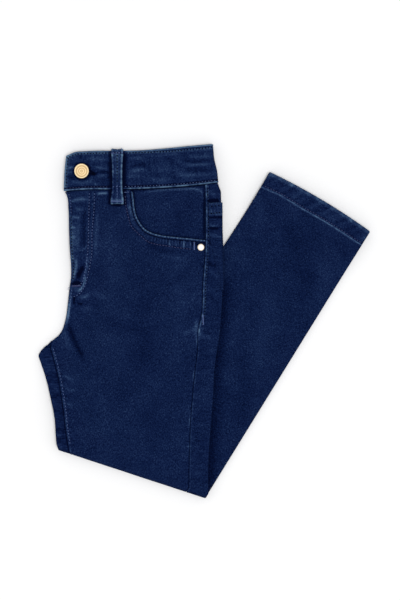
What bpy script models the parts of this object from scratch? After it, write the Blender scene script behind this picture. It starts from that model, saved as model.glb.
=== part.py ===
"""Child's denim jeans, folded in half along the fly and folded up again at the knee.

The half-folded legs are four layers of cloth: right front, right back, left back and
left front, from the floor up. The knee fold turns all four over, so that the right
front lies on top of the lower leg. A point of the cloth is found in two steps. First
comes its place in the plan, seen from above. Then comes its radius from the middle of
the fold, which is also its height over the layers that lie straight.

Lengths are in millimetres, and MM turns them into metres when a mesh is made.
X runs across the waist, Y runs up towards it, and Z is up from the floor.
"""

import math
from collections import namedtuple

import bmesh
import bpy
import numpy as np

MM = 0.001

# Cloth
WALL = 1.1
HALF_WALL = WALL / 2
PITCH = 1.6
SEAM_GAP = 0.4
WAIST_GAP = 0.8
CLEARANCE = 0.35
LAYER_RADII = 1.2 + PITCH * np.arange(4)
RIGHT_FRONT, RIGHT_BACK, LEFT_BACK, LEFT_FRONT = range(4)

# Knee fold
FOLD_LEFT = np.array((-165.4, -137.2))
FOLD_RIGHT = np.array((4.8, -193.0))
FOLD_AXIS_HEIGHT = LAYER_RADII[LEFT_FRONT] + HALF_WALL
FOLD_STEPS = 6
FOLD_CORNER_LEFT = 4.0
FOLD_CORNER_RIGHT = 1.0

# Upper block: height of the stack's zero radius, and the room made between layers
BASE_ON_FLOOR = HALF_WALL - LAYER_RADII[RIGHT_FRONT]
PRESSED_BY_WEIGHT = 0.9
BASE_ON_LEG = FOLD_AXIS_HEIGHT - PRESSED_BY_WEIGHT
PRESS_REACH = 10.0
RAMP_START = 22.0
RAMP_LENGTH = 68.0
# Each room is (height, y where it starts, length over which it opens).
BACK_POCKET_ROOM = (1.7, -21.0, 44.0)
FACING_ROOM = (1.8, 35.0, 36.0)
FLY_ROOM = (1.8, 30.0, 40.0)
FLY_ROOM_RIGHT = -105.0
FLY_ROOM_WIDTH = 18.0

# Lower leg
LOWER_LEFT_END = np.array((72.6, 166.1))
LOWER_RIGHT_END = np.array((185.4, 99.2))
LOWER_LEFT_BOW = 14.0
HEM_BOW = 3.0
HEM_DEPTH = 16.0
HEM_RISE_END = 20.0
HEM_RISE_LENGTH = 40.0
HEM_RISE = PITCH * np.array((4, 2, 2, 0))
LIP = 4.0
INSEAM_STRIP = (14.1, 9.0)
SIDE_STRIP = (22.7, 12.0)

# Waistband
BAND_WALL = 2.2
BAND_PITCH = 2.6
OVERLAP = 38.0
OVERLAP_SLOPE = 14.0
UNDERLAP = 35.5
BAND_SHARES = (0.4, 0.55, 0.68, 0.8, 0.9)

# Trims
LOOP_WALL = 1.4
LOOP_WIDTH = 14.0
BELT_LOOP_X = -97.3
BUTTON_DIAMETER = 17.0
BUTTON_PLACE = (-137.0, 167.9)
RIVET_DIAMETER = 7.8
RIVET_PLACE = (-3.6, 82.6)

# Colours
INDIGO = (0.0068, 0.0165, 0.061)
PALE_GOLD = (0.78, 0.6, 0.33)

# Each outline row is (y, x), from the waist seam down to the knee fold.
LEFT_OUTLINE = (
    (145.2, -155.8),
    (141.3, -153.9),
    (125.0, -151.9),
    (102.0, -151.4),
    (78.5, -150.4),
    (63.0, -149.2),
    (48.5, -149.4),
    (38.5, -150.9),
    (16.0, -153.4),
    (5.0, -154.9),
    (-3.1, -156.9),
    (-9.9, -159.2),
    (-16.6, -163.6),
    (-22.7, -172.6),
    (-27.2, -177.0),
    (-32.9, -182.6),
    (-38.6, -185.8),
    (-44.4, -184.0),
    (-62.5, -177.9),
    (-85.6, -172.1),
    (-108.4, -167.6),
    (-129.7, -166.0),
    (-137.2, -165.4),
)
# The left front's own edge: the fly, the crotch, and then the inseam.
FRONT_EDGE = LEFT_OUTLINE[:13] + (
    (-22.7, -170.9),
    (-27.2, -172.1),
    (-42.0, -168.7),
    (-60.0, -164.1),
    (-78.5, -160.7),
    (-98.0, -157.8),
    (-133.5, -153.3),
    (-146.0, -151.0),
)
SIDE_SEAM = (
    (155.0, 1.0),
    (99.0, 2.0),
    (74.5, 1.3),
    (41.5, -1.1),
    (7.0, -2.7),
    (-10.0, -6.4),
    (-32.0, -7.0),
    (-60.5, -10.5),
    (-87.5, -12.9),
    (-111.0, -14.8),
    (-142.5, -16.0),
    (-195.0, -16.8),
)
RIGHT_OUTLINE = (
    (154.7, 15.1),
    (137.0, 17.4),
    (133.0, 18.6),
    (124.5, 19.0),
    (97.7, 19.4),
    (84.0, 20.0),
    (22.5, 20.2),
    (-16.5, 17.1),
    (-48.0, 12.3),
    (-87.0, 10.0),
    (-126.5, 6.8),
    (-165.5, 4.6),
    (-193.0, 4.8),
)

# Each waistband row is (x, y).
BAND_TOP = (
    (-154.7, 185.0),
    (-144.8, 189.2),
    (-132.4, 190.3),
    (-104.0, 191.1),
    (-72.0, 191.5),
    (-48.5, 193.2),
    (-16.0, 196.4),
    (10.0, 198.6),
)
BAND_LOW = (
    (-157.4, 145.6),
    (-132.4, 147.2),
    (-106.5, 147.5),
    (-72.0, 148.2),
    (-34.5, 150.1),
    (0.7, 153.3),
    (16.0, 155.1),
)
# Each row is (share of the band's height from its top, x).
BAND_LEFT = ((0.0, -154.7), (0.4, -156.4), (1.0, -157.4))
BAND_RIGHT = ((0.0, 10.0), (0.4, 11.6), (0.7, 14.6), (1.0, 16.0))

# Front pocket mouth: each row is (x, y) along its curved edge.
SCOOP = (
    (-80.5, 144.4),
    (-79.6, 138.8),
    (-78.4, 126.8),
    (-75.8, 116.5),
    (-71.8, 109.4),
    (-66.2, 102.7),
    (-59.7, 99.0),
    (-48.6, 95.8),
    (-34.6, 93.9),
    (-16.0, 92.1),
    (1.0, 90.2),
)
# X of each left front column at its top edge, spaced to follow the scoop.
FRONT_COLUMNS_TOP = (-130.0, -100.0, -81.2, -78.4, -73.5, -63.0, -45.0, -22.0, 1.2)
SCOOP_BLEND_END = 0.25
WAIST_CURVE_END = 0.15
FACING_LEFT = -93.0
FACING_LOW = 74.5
FACING_COLUMNS = (0.0, 0.12, 0.25, 0.38, 0.51, 0.64, 0.76, 0.88, 1.0)

# Shares of a row's width at which every layer has a column, so that the layers nest.
COLUMN_SHARES = (0.055, 0.1, 0.2, 0.3, 0.4, 0.5, 0.6, 0.7, 0.8, 0.9)

# Shares of the way from the waist seam to the fold, close together at the crotch.
UPPER_SHARES = (0.0, 0.03, 0.06, 0.097, 0.13, 0.17, 0.23, 0.29, 0.345, 0.385, 0.43, 0.48)
CROTCH_SHARES = (0.527, 0.551, 0.575, 0.5966, 0.6126, 0.6329, 0.6531, 0.6738)
THIGH_SHARES = (0.71, 0.76, 0.81, 0.86, 0.905, 0.945, 0.975, 1.0)
LOWER_SHARES = (0.02, 0.045, 0.12, 0.22, 0.34, 0.46, 0.58, 0.7, 0.8, 0.86, 0.905, 0.945)
CROTCH_POINT = 0.605
# Between these shares the fly's edge, folded over the stack, opens out flat.
FLY_OPENS_FLAT = (0.54, 0.5966)
# How far in the left back's edge lies under the front, at the seat and at the crotch.
SEAT_EDGE = (2.8, 0.4)
SEAT_EDGE_START = 7.5
POCKET_SHARES = UPPER_SHARES[3:9]
POCKET_FROM_SEAM = 3.0

# The hidden layers' grooved edge: each row is (from the edge, share of thickness).
LAYERED_EDGE = ((0.9, 0.5), (0.3, 0.35), (0.0, 0.2), (0.2, 0.08))

Row = namedtuple("Row", "left right turn share waist hem inset beyond")


def unit(vector):
    return vector / np.linalg.norm(vector)


FOLD_WAY = unit(FOLD_RIGHT - FOLD_LEFT)
FOLD_OUT = np.array((FOLD_WAY[1], -FOLD_WAY[0]))


def mix(first, second, share):
    return first + (second - first) * share


def smooth(value):
    value = min(max(value, 0.0), 1.0)
    return value * value * (3 - 2 * value)


def along(table, value):
    """The second column of a table at a value of its first column."""
    rows = sorted(table)
    return float(np.interp(value, [row[0] for row in rows], [row[1] for row in rows]))


def lower_left(share):
    chord = LOWER_LEFT_END - FOLD_LEFT
    inward = unit(np.array((chord[1], -chord[0])))
    return FOLD_LEFT + chord * share + inward * LOWER_LEFT_BOW * 4 * share * (1 - share)


def distance_inside_leg(x, y):
    """How far a place in the plan lies inside the lower leg's left edge."""
    chord = LOWER_LEFT_END - FOLD_LEFT
    inward = unit(np.array((chord[1], -chord[0])))
    offset = np.array((x, y)) - FOLD_LEFT
    share = min(max(float(offset @ chord) / float(chord @ chord), 0.0), 1.0)
    return float(offset @ inward) - LOWER_LEFT_BOW * 4 * share * (1 - share)


def stack_base(x, y):
    """Height of the upper block's zero radius: on the floor, or on the lower leg."""
    on_leg = smooth((distance_inside_leg(x, y) + RAMP_START + RAMP_LENGTH) / RAMP_LENGTH)
    from_fold = -float((np.array((x, y)) - FOLD_LEFT) @ FOLD_OUT)
    springing = PRESSED_BY_WEIGHT * math.exp(-max(from_fold, 0.0) / PRESS_REACH)
    return mix(BASE_ON_FLOOR, BASE_ON_LEG, on_leg) + springing * on_leg


def room_at(room, y):
    """The height that a room between two layers has reached at a place up the leg."""
    height, start, length = room
    return height * smooth((y - start) / length)


def layer_radii(row, x, y):
    """The four layers' radii from the fold's axis at a place in the plan."""
    radii = LAYER_RADII.copy()
    if row.turn == 0:
        radii += stack_base(x, y)
        radii[LEFT_BACK:] += room_at(BACK_POCKET_ROOM, y)
        over_fly = smooth((FLY_ROOM_RIGHT - x) / FLY_ROOM_WIDTH)
        radii[LEFT_FRONT] += room_at(FACING_ROOM, y) + room_at(FLY_ROOM, y) * over_fly
    elif row.turn == math.pi:
        radii -= HEM_RISE * row.hem
    return radii


def place(row, x, y, radius):
    """A point of the cloth in space, turned round the fold."""
    plan = np.array((x, y)) + FOLD_OUT * radius * math.sin(row.turn)
    axis = FOLD_AXIS_HEIGHT if row.turn else 0.0
    return (plan[0], plan[1], axis + radius * math.cos(row.turn))


def row_width(row):
    return float(np.linalg.norm(row.right - row.left))


def plan_at(row, across):
    """The place in the plan at a distance across a row from its left outline."""
    way = unit(row.right - row.left)
    up_the_leg = np.array((-way[1], way[0]))
    share = across / row_width(row)
    bow = HEM_BOW * 4 * share * (1 - share) * row.hem
    x, y = row.left + way * across + up_the_leg * (row.beyond + bow)
    return x, y + row.waist * (along(BAND_LOW, x) - WAIST_GAP - y)


def upper_row(share):
    left_y = mix(LEFT_OUTLINE[0][0], LEFT_OUTLINE[-1][0], share)
    right_y = mix(RIGHT_OUTLINE[0][0], RIGHT_OUTLINE[-1][0], share)
    left = np.array((along(LEFT_OUTLINE, left_y), left_y))
    right = np.array((along(RIGHT_OUTLINE, right_y), right_y))
    waist = max(1 - share / WAIST_CURVE_END, 0.0)
    return Row(left, right, 0.0, share, waist, 0.0, 0.0, 0.0)


def fold_row(step):
    turn = math.pi * step / FOLD_STEPS
    left = FOLD_LEFT + FOLD_WAY * FOLD_CORNER_LEFT * math.sin(turn)
    right = FOLD_RIGHT - FOLD_WAY * FOLD_CORNER_RIGHT * math.sin(turn)
    return Row(left, right, turn, 0.0, 0.0, 0.0, 0.0, 0.0)


def lower_row(share, inset=0.0, beyond=0.0):
    left = lower_left(share)
    right = mix(FOLD_RIGHT, LOWER_RIGHT_END, share)
    to_hem = np.linalg.norm(LOWER_RIGHT_END - FOLD_RIGHT) * (1 - share)
    hem = smooth((HEM_RISE_END + HEM_RISE_LENGTH - to_hem) / HEM_RISE_LENGTH)
    return Row(left, right, math.pi, share, 0.0, hem, inset, beyond)


def hem_rows():
    """The hem's edge: the cloth turns in and goes back up inside the leg."""
    rows = [lower_row(1.0)]
    radius = PITCH / 2
    for angle in (45, 90, 135, 180):
        turn = math.radians(angle)
        rows.append(lower_row(1.0, radius * (1 - math.cos(turn)), radius * math.sin(turn)))
    rows.append(lower_row(1.0, PITCH, -HEM_DEPTH))
    return rows


def leg_rows():
    """The rows of a leg from the waist seam, round the fold, to the hem."""
    rows = [upper_row(share) for share in UPPER_SHARES + CROTCH_SHARES + THIGH_SHARES]
    rows += [fold_row(step) for step in range(1, FOLD_STEPS + 1)]
    rows += [lower_row(share) for share in LOWER_SHARES]
    return rows


def across_at(row, table):
    """How far across a row it meets a line that is given as a (y, x) table."""
    way = unit(row.right - row.left)
    y = row.left[1]
    for _ in range(4):
        across = (along(table, y) - row.left[0]) / way[0]
        y = row.left[1] + way[1] * across
    return across


def inseam_across(row):
    if row.turn == 0:
        return across_at(row, FRONT_EDGE)
    return mix(*INSEAM_STRIP, row.share)


def side_seam_across(row):
    if row.turn == 0:
        return across_at(row, SIDE_SEAM)
    return row_width(row) - mix(*SIDE_STRIP, row.share)


def round_edge(row, side, outer, inner, steps=4):
    """Points round a folded edge, from the outer layer to the inner one.

    side is 1 at the right outline and -1 at the left. Each point is (across, radius).
    """
    edge = row_width(row) - HALF_WALL if side > 0 else HALF_WALL
    radii = layer_radii(row, *plan_at(row, edge))
    bend = abs(radii[outer] - radii[inner]) / 2
    centre = edge - side * bend
    middle = (radii[outer] + radii[inner]) / 2
    way = math.copysign(1, radii[outer] - radii[inner])
    points = []
    for step in range(steps + 1):
        angle = math.pi * step / steps
        reach = bend - row.inset
        across = centre + side * reach * math.sin(angle)
        points.append((across, middle + way * reach * math.cos(angle)))
    return points


def on_layer(row, across, layer, outward=0.0):
    x, y = plan_at(row, across)
    return place(row, x, y, layer_radii(row, x, y)[layer] + outward)


def at_radius(row, across, radius):
    return place(row, *plan_at(row, across), radius)


def front_top(x):
    """The left front's top edge: the waist seam, and then the pocket mouth."""
    if x < SCOOP[0][0]:
        return along(BAND_LOW, x) - WAIST_GAP
    return along(SCOOP, x)


def front_share(row, column_share):
    """A column's share of the left front's width, from its share of the whole row."""
    if column_share in (0.0, 1.0):
        return column_share
    edge, seam = inseam_across(row), side_seam_across(row)
    return (column_share * row_width(row) - edge) / (seam - edge)


def front_plan(row, top_x, column_share, from_edge):
    """The plan place of a left front column, above the fold."""
    reach = min(row.share / SCOOP_BLEND_END, 1.0)
    low = upper_row(SCOOP_BLEND_END) if reach < 1 else row
    low_share = front_share(low, column_share)
    low_y = plan_at(low, mix(inseam_across(low), side_seam_across(low), low_share))[1]
    y = mix(front_top(top_x), low_y, reach)
    top_edge = along(FRONT_EDGE, front_top(top_x))
    top_seam = along(SIDE_SEAM, front_top(top_x))
    share = mix((top_x - top_edge) / (top_seam - top_edge), low_share, reach)
    gap = SEAM_GAP / 2
    left, right = along(FRONT_EDGE, y), along(SIDE_SEAM, y)
    return mix(left + gap, right - gap, share) + from_edge, y


def front_edge_points(row):
    """The left front's first columns: (from the edge, below the layer) in millimetres.

    Down the fly and the crotch the cloth folds over the edge of the stack.
    Along the inseam it stays flat.
    """
    x, y = plan_at(row, 0.0)
    radii = layer_radii(row, x, y)
    drop = radii[LEFT_FRONT] - radii[RIGHT_BACK] - HALF_WALL - CLEARANCE
    start, end = FLY_OPENS_FLAT
    folded = 1 - smooth((row.share - start) / (end - start)) if row.turn == 0 else 0.0
    over = ((0.4, drop), (0.4, 1.2), (0.75, 0.35), (1.6, 0.0))
    flat = ((0.0, 0.0), (0.6, 0.0), (1.2, 0.0), (1.8, 0.0))
    return [
        (mix(f[0], o[0], folded), mix(f[1], o[1], folded)) for f, o in zip(flat, over)
    ]


def left_front_row(row):
    edge_columns = [(FRONT_EDGE[0][1], 0.0, *point) for point in front_edge_points(row)]
    shares = COLUMN_SHARES[1:9] + (1.0,)
    flat_columns = [(top_x, share, 0.0, 0.0) for top_x, share in zip(FRONT_COLUMNS_TOP, shares)]
    points = []
    for top_x, column_share, from_edge, below in edge_columns + flat_columns:
        if row.turn == 0:
            x, y = front_plan(row, top_x, column_share, from_edge)
        else:
            gap = SEAM_GAP / 2
            start, end = inseam_across(row) + gap, side_seam_across(row) - gap
            x, y = plan_at(row, mix(start, end, front_share(row, column_share)) + from_edge)
        radius = layer_radii(row, x, y)[LEFT_FRONT]
        points.append(place(row, x, y, radius - below - row.inset))
    return points


def left_back_row(row):
    """Strip beside the side seam, round the right edge, under, and round the left edge."""
    seam = side_seam_across(row) + SEAM_GAP / 2
    right_edge = round_edge(row, 1, LEFT_FRONT, LEFT_BACK)
    points = [
        on_layer(row, mix(seam, right_edge[0][0], share), LEFT_FRONT, -row.inset)
        for share in (0.0, 0.5)
    ]
    points += [at_radius(row, *point) for point in right_edge]
    wrapped = row.turn > 0 or row.share > CROTCH_POINT
    for share in COLUMN_SHARES[::-1]:
        points.append(on_layer(row, share * row_width(row), LEFT_BACK, row.inset))
    if wrapped:
        left_edge = round_edge(row, -1, LEFT_FRONT, LEFT_BACK)[::-1]
        inseam = inseam_across(row) - SEAM_GAP / 2
        points += [at_radius(row, *point) for point in left_edge]
        points += [
            on_layer(row, mix(left_edge[-1][0], inseam, share), LEFT_FRONT, -row.inset)
            for share in (0.5, 1.0)
        ]
    else:
        reach = smooth((row.share - CROTCH_SHARES[2]) / (CROTCH_SHARES[3] - CROTCH_SHARES[2]))
        last = mix(*SEAT_EDGE, reach)
        for number in range(7):
            points.append(on_layer(row, mix(SEAT_EDGE_START, last, number / 6), LEFT_BACK))
    return points


def right_front_row(row):
    """The lower leg's top layer, with both edges rolled under."""
    width = row_width(row)
    left_edge = round_edge(row, -1, RIGHT_FRONT, RIGHT_BACK)[::-1]
    right_edge = round_edge(row, 1, RIGHT_FRONT, RIGHT_BACK)
    points = [on_layer(row, LIP, RIGHT_BACK, -row.inset)]
    points += [at_radius(row, *point) for point in left_edge]
    for share in COLUMN_SHARES:
        points.append(on_layer(row, share * width, RIGHT_FRONT, row.inset))
    points += [at_radius(row, *point) for point in right_edge]
    points.append(on_layer(row, width - LIP, RIGHT_BACK, -row.inset))
    return points


def hidden_ring(row):
    """One closed section of the hidden layers, from the left groove round to it again."""
    turned = row.turn / math.pi
    thinned = smooth(row.share / LOWER_SHARES[0]) if turned == 1 else 0.0
    inset = mix(HALF_WALL, LIP + 1.5, turned)
    width = row_width(row)

    def at(from_left, share):
        x, y = plan_at(row, from_left)
        radii = layer_radii(row, x, y)
        inner = mix(radii[RIGHT_FRONT], radii[RIGHT_BACK], thinned) - HALF_WALL
        inner -= PITCH * row.hem
        outer = radii[RIGHT_BACK] + HALF_WALL
        return place(row, x, y, mix(inner, outer, share))

    columns = [share * width for share in COLUMN_SHARES]
    flat = [inset + 1.0, *columns, width - inset - 1.0]
    ring = [at(inset + edge, share) for edge, share in LAYERED_EDGE]
    ring += [at(across, 0.0) for across in flat]
    ring += [at(width - inset - edge, share) for edge, share in LAYERED_EDGE[::-1]]
    ring += [at(width - inset - edge, 1 - share) for edge, share in LAYERED_EDGE[1:]]
    ring += [at(across, 1.0) for across in flat[::-1]]
    ring += [at(inset + edge, 1 - share) for edge, share in LAYERED_EDGE[:0:-1]]
    return ring


def band_point(share_across, offset, height, share_down):
    """A point of the waistband: across it, in from an end, up, and down from its top."""
    left, right = along(BAND_LEFT, share_down), along(BAND_RIGHT, share_down)
    x = mix(left, right, share_across) + offset
    y = mix(along(BAND_TOP, x), along(BAND_LOW, x), share_down)
    return (x, y, height + stack_base(x, y) - BASE_ON_FLOOR)


def band_path():
    """The waistband seen from its edge: rows of (share across, offset, height)."""
    levels = [BAND_WALL / 2 + BAND_PITCH * number for number in range(5)]
    small, large = BAND_PITCH / 2, BAND_PITCH * 1.5
    right_in = -(BAND_WALL / 2 + small)
    left_in = BAND_WALL / 2 + large + 0.5
    middle = (levels[1] + levels[2]) / 2
    path = [(0.0, offset, levels[4]) for offset in (0.2, 12.0, 24.0, OVERLAP)]
    for step in (1, 2, 3):
        height = mix(levels[4], levels[3], smooth(step / 3))
        path.append((0.0, OVERLAP + OVERLAP_SLOPE * step / 3, height))
    path += [(share, 0.0, levels[3]) for share in BAND_SHARES]
    path += bend(1.0, right_in, (levels[3] + levels[2]) / 2, small, 90, -90)
    path += [(share, 0.0, levels[2]) for share in BAND_SHARES[::-1]]
    path += bend(0.0, left_in, middle, small, 90, 270)
    path += [(share, 0.0, levels[1]) for share in BAND_SHARES]
    path += bend(1.0, right_in, (levels[1] + levels[0]) / 2, small, 90, -90)
    path += [(share, 0.0, levels[0]) for share in BAND_SHARES[::-1]]
    path += bend(0.0, left_in, middle, large, 270, 90, 6)
    path += [(0.0, offset, levels[3]) for offset in (15.0, 25.0, UNDERLAP)]
    return path


def bend(share_across, offset, height, radius, start, end, steps=4):
    points = []
    for step in range(steps + 1):
        angle = math.radians(mix(start, end, step / steps))
        across = offset + radius * math.cos(angle)
        points.append((share_across, across, height + radius * math.sin(angle)))
    return points


def loop_path():
    """The belt loop seen from its side: rows of (y, height), from its hooked top end."""
    x = BELT_LOOP_X
    top, low = along(BAND_TOP, x), along(BAND_LOW, x)
    over_band = BAND_WALL + BAND_PITCH * 3 + CLEARANCE + LOOP_WALL / 2
    panel = layer_radii(upper_row(0.0), x, low)[LEFT_FRONT] + HALF_WALL
    under = panel + CLEARANCE + LOOP_WALL / 2
    fold = LOOP_WALL / 2 + 0.15
    end = low - 15.0
    return (
        (top + 1.3, over_band - 3.0),
        (top + 1.3, over_band - 0.8),
        (top + 0.8, over_band + 0.15),
        (top - 0.7, over_band + 0.3),
        (mix(top, low, 0.35), over_band + 0.2),
        (mix(top, low, 0.7), over_band + 0.2),
        (low + 1.5, over_band),
        (low - 5.0, over_band + 0.2),
        (low - 10.0, under + 2 * fold),
        (end, under + 2 * fold),
        (end - 0.7 * fold, under + 1.7 * fold),
        (end - fold, under + fold),
        (end - 0.7 * fold, under + 0.3 * fold),
        (end, under),
        (end + 5.0, under),
    )


def facing_rows():
    rows = []
    for share in (0.0, 0.25, 0.5, 0.75, 1.0):
        points = []
        for across in FACING_COLUMNS:
            x = mix(FACING_LEFT, along(SIDE_SEAM, 120.0) - SEAM_GAP / 2 - 0.3, across)
            y = mix(along(BAND_LOW, x) - WAIST_GAP, FACING_LOW, share)
            radius = layer_radii(upper_row(0.0), x, y)[LEFT_FRONT] - PITCH
            points.append((x, y, radius))
        rows.append(points)
    return rows


def back_pocket_row(share):
    """The back pocket: the left back's own points, moved out, round its right edge."""
    lift = WALL + CLEARANCE
    row = upper_row(share)._replace(inset=-lift)
    edge = round_edge(row, 1, LEFT_FRONT, LEFT_BACK)
    turned_away = smooth((share - POCKET_SHARES[1]) / (POCKET_SHARES[-1] - POCKET_SHARES[1]))
    start = mix(side_seam_across(row) + POCKET_FROM_SEAM, edge[0][0] - 1.0, turned_away)
    points = [
        on_layer(row, mix(start, edge[0][0], part), LEFT_FRONT, lift) for part in (0.0, 0.5)
    ]
    points += [at_radius(row, *point) for point in edge]
    for column in COLUMN_SHARES[:6:-1]:
        points.append(on_layer(row, column * row_width(row), LEFT_BACK, -lift))
    return points


def material(name, colour, roughness, metallic=0.0):
    made = bpy.data.materials.new(name)
    made.use_nodes = True
    shader = made.node_tree.nodes["Principled BSDF"]
    shader.inputs["Base Color"].default_value = (*colour, 1.0)
    shader.inputs["Roughness"].default_value = roughness
    shader.inputs["Metallic"].default_value = metallic
    return made


def denim(name, lightness=1.0):
    return material(name, [value * lightness for value in INDIGO], 0.9)


def metal(name):
    return material(name, PALE_GOLD, 0.3, 1.0)


def add_object(name, mesh, finish):
    mesh.materials.append(finish)
    made = bpy.data.objects.new(name, mesh)
    bpy.data.collections["jeans"].objects.link(made)
    return made


def mesh_from(name, points, faces):
    shape = bmesh.new()
    corners = [shape.verts.new([value * MM for value in point]) for point in points]
    for face in faces:
        shape.faces.new([corners[corner] for corner in face])
    mesh = bpy.data.meshes.new(name)
    shape.to_mesh(mesh)
    shape.free()
    mesh.shade_smooth()
    mesh.set_sharp_from_angle(angle=math.radians(40))
    return mesh


def add_sheet(name, rows, finish, wall=WALL):
    """An open sheet through rows of points, given its wall by Solidify."""
    width = len(rows[0])
    faces = []
    for r in range(len(rows) - 1):
        for c in range(width - 1):
            first = r * width + c
            faces.append((first, first + 1, first + width + 1, first + width))
    points = [point for row in rows for point in row]
    made = add_object(name, mesh_from(name, points, faces), finish)
    solidify = made.modifiers.new("wall", "SOLIDIFY")
    solidify.thickness = wall * MM
    solidify.offset = 0.0
    solidify.use_even_offset = True
    return made


def add_loft(name, rings, finish):
    """A closed solid through rings that are symmetric about their first point."""
    size = len(rings[0])
    faces = []
    for r in range(len(rings) - 1):
        for c in range(size):
            first, second = r * size + c, r * size + (c + 1) % size
            faces.append((first, second, second + size, first + size))
    last = (len(rings) - 1) * size
    for c in range(size // 2):
        ends = [c, c + 1, size - c - 1, (size - c) % size]
        cap = list(dict.fromkeys(ends))
        faces.append(cap[::-1])
        faces.append([corner + last for corner in cap])
    points = [point for ring in rings for point in ring]
    return add_object(name, mesh_from(name, points, faces), finish)


def add_turned(name, profile, place_at, finish, steps):
    """A turned solid: the profile runs (radius, height) from the top down its outside."""
    points = [(radius, 0.0, height) for radius, height in profile]
    shape = bmesh.new()
    corners = [shape.verts.new([value * MM for value in point]) for point in points]
    for first, second in zip(corners, corners[1:]):
        shape.edges.new((first, second))
    mesh = bpy.data.meshes.new(name)
    shape.to_mesh(mesh)
    shape.free()
    made = add_object(name, mesh, finish)
    made.location = [value * MM for value in place_at]
    screw = made.modifiers.new("turn", "SCREW")
    screw.steps = steps
    screw.render_steps = steps
    screw.use_merge_vertices = True
    screw.merge_threshold = 0.00001
    screw.use_smooth_shade = True
    return made


def build_legs():
    rows = leg_rows()
    turned_in = hem_rows()
    front = [left_front_row(row) for row in rows + turned_in]
    add_sheet("left_front", front, denim("left_front_denim"))
    back = [left_back_row(row) for row in rows + turned_in]
    add_sheet("left_back", back, denim("left_back_denim", 1.1))
    shown = [row for row in rows if row.turn == math.pi and row.share >= LOWER_SHARES[1]]
    right = [right_front_row(row) for row in shown + turned_in]
    add_sheet("right_front", right, denim("right_front_denim"))
    rings = [hidden_ring(row) for row in rows + [lower_row(0.975), lower_row(1.0)]]
    add_loft("hidden_layers", rings, denim("hidden_denim", 0.8))


def build_waistband():
    path = band_path()
    rows = [[band_point(*point, down / 3) for point in path] for down in range(4)]
    add_sheet("waistband", rows, denim("waistband_denim", 1.1), BAND_WALL)


def build_pockets():
    add_sheet("pocket_facing", facing_rows(), denim("facing_denim", 0.9))
    rows = [back_pocket_row(share) for share in POCKET_SHARES]
    add_sheet("back_pocket", rows, denim("back_pocket_denim", 1.1))


def build_belt_loop():
    rows = [
        [(BELT_LOOP_X + LOOP_WIDTH * part, y, height) for part in (-0.5, -0.2, 0.2, 0.5)]
        for y, height in loop_path()
    ]
    add_sheet("belt_loop", rows, denim("belt_loop_denim", 1.2), LOOP_WALL)


def build_fastenings():
    radius = BUTTON_DIAMETER / 2
    button = (
        (0.0, 2.9),
        (radius * 0.3, 2.8),
        (radius * 0.55, 2.4),
        (radius * 0.75, 2.5),
        (radius * 0.85, 3.0),
        (radius * 0.95, 2.8),
        (radius, 2.2),
        (radius * 0.96, 1.5),
        (radius * 0.5, 1.2),
        (radius * 0.45, 0.0),
        (0.0, 0.0),
    )
    over_band = BAND_WALL + BAND_PITCH * 4 + CLEARANCE
    add_turned("waist_button", button, (*BUTTON_PLACE, over_band), metal("button_metal"), 28)
    radius = RIVET_DIAMETER / 2
    rivet = (
        (0.0, 1.2),
        (radius * 0.5, 1.1),
        (radius * 0.85, 0.75),
        (radius, 0.3),
        (radius, 0.0),
        (0.0, 0.0),
    )
    panel = layer_radii(upper_row(0.0), *RIVET_PLACE)[LEFT_FRONT] + HALF_WALL
    add_turned("pocket_rivet", rivet, (*RIVET_PLACE, panel + CLEARANCE), metal("rivet_metal"), 20)


def main():
    for leftover in list(bpy.data.objects):
        bpy.data.objects.remove(leftover)
    jeans = bpy.data.collections.new("jeans")
    bpy.context.scene.collection.children.link(jeans)
    build_legs()
    build_waistband()
    build_pockets()
    build_belt_loop()
    build_fastenings()


main()
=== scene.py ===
"""Looks of the folded jeans: denim shells, creases, sewing and metal trims.

Each shell lies on its solid's form, through the same tables and formulas in
millimetres, with many more rows and columns. The main creases are listed one by one.
"""

import math
from types import SimpleNamespace

import bpy
import numpy as np
from mathutils.bvhtree import BVHTree
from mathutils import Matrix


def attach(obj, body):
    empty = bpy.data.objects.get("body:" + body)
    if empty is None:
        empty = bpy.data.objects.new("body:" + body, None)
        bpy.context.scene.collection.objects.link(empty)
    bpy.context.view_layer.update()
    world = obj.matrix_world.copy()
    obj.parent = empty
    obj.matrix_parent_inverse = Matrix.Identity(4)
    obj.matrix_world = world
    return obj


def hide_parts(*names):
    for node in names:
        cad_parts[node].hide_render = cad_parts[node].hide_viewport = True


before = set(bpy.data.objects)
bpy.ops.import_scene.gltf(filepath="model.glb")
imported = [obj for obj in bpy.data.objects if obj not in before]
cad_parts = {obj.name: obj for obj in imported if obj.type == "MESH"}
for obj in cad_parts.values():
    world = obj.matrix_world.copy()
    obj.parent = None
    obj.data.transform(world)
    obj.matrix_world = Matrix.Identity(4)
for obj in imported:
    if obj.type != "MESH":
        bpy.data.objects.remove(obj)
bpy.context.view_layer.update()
MM = 0.001

# Cloth
WALL = 1.1
HALF_WALL = WALL / 2
PITCH = 1.6
SEAM_GAP = 0.4
WAIST_GAP = 0.8
CLEARANCE = 0.35
LAYER_RADII = 1.2 + PITCH * np.arange(4)
RIGHT_FRONT, RIGHT_BACK, LEFT_BACK, LEFT_FRONT = range(4)

# Knee fold
FOLD_LEFT = np.array((-165.4, -137.2))
FOLD_RIGHT = np.array((4.8, -193.0))
FOLD_AXIS_HEIGHT = LAYER_RADII[LEFT_FRONT] + HALF_WALL
FOLD_STEPS = 16
FOLD_CORNER_LEFT = 4.0
FOLD_CORNER_RIGHT = 1.0

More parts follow.
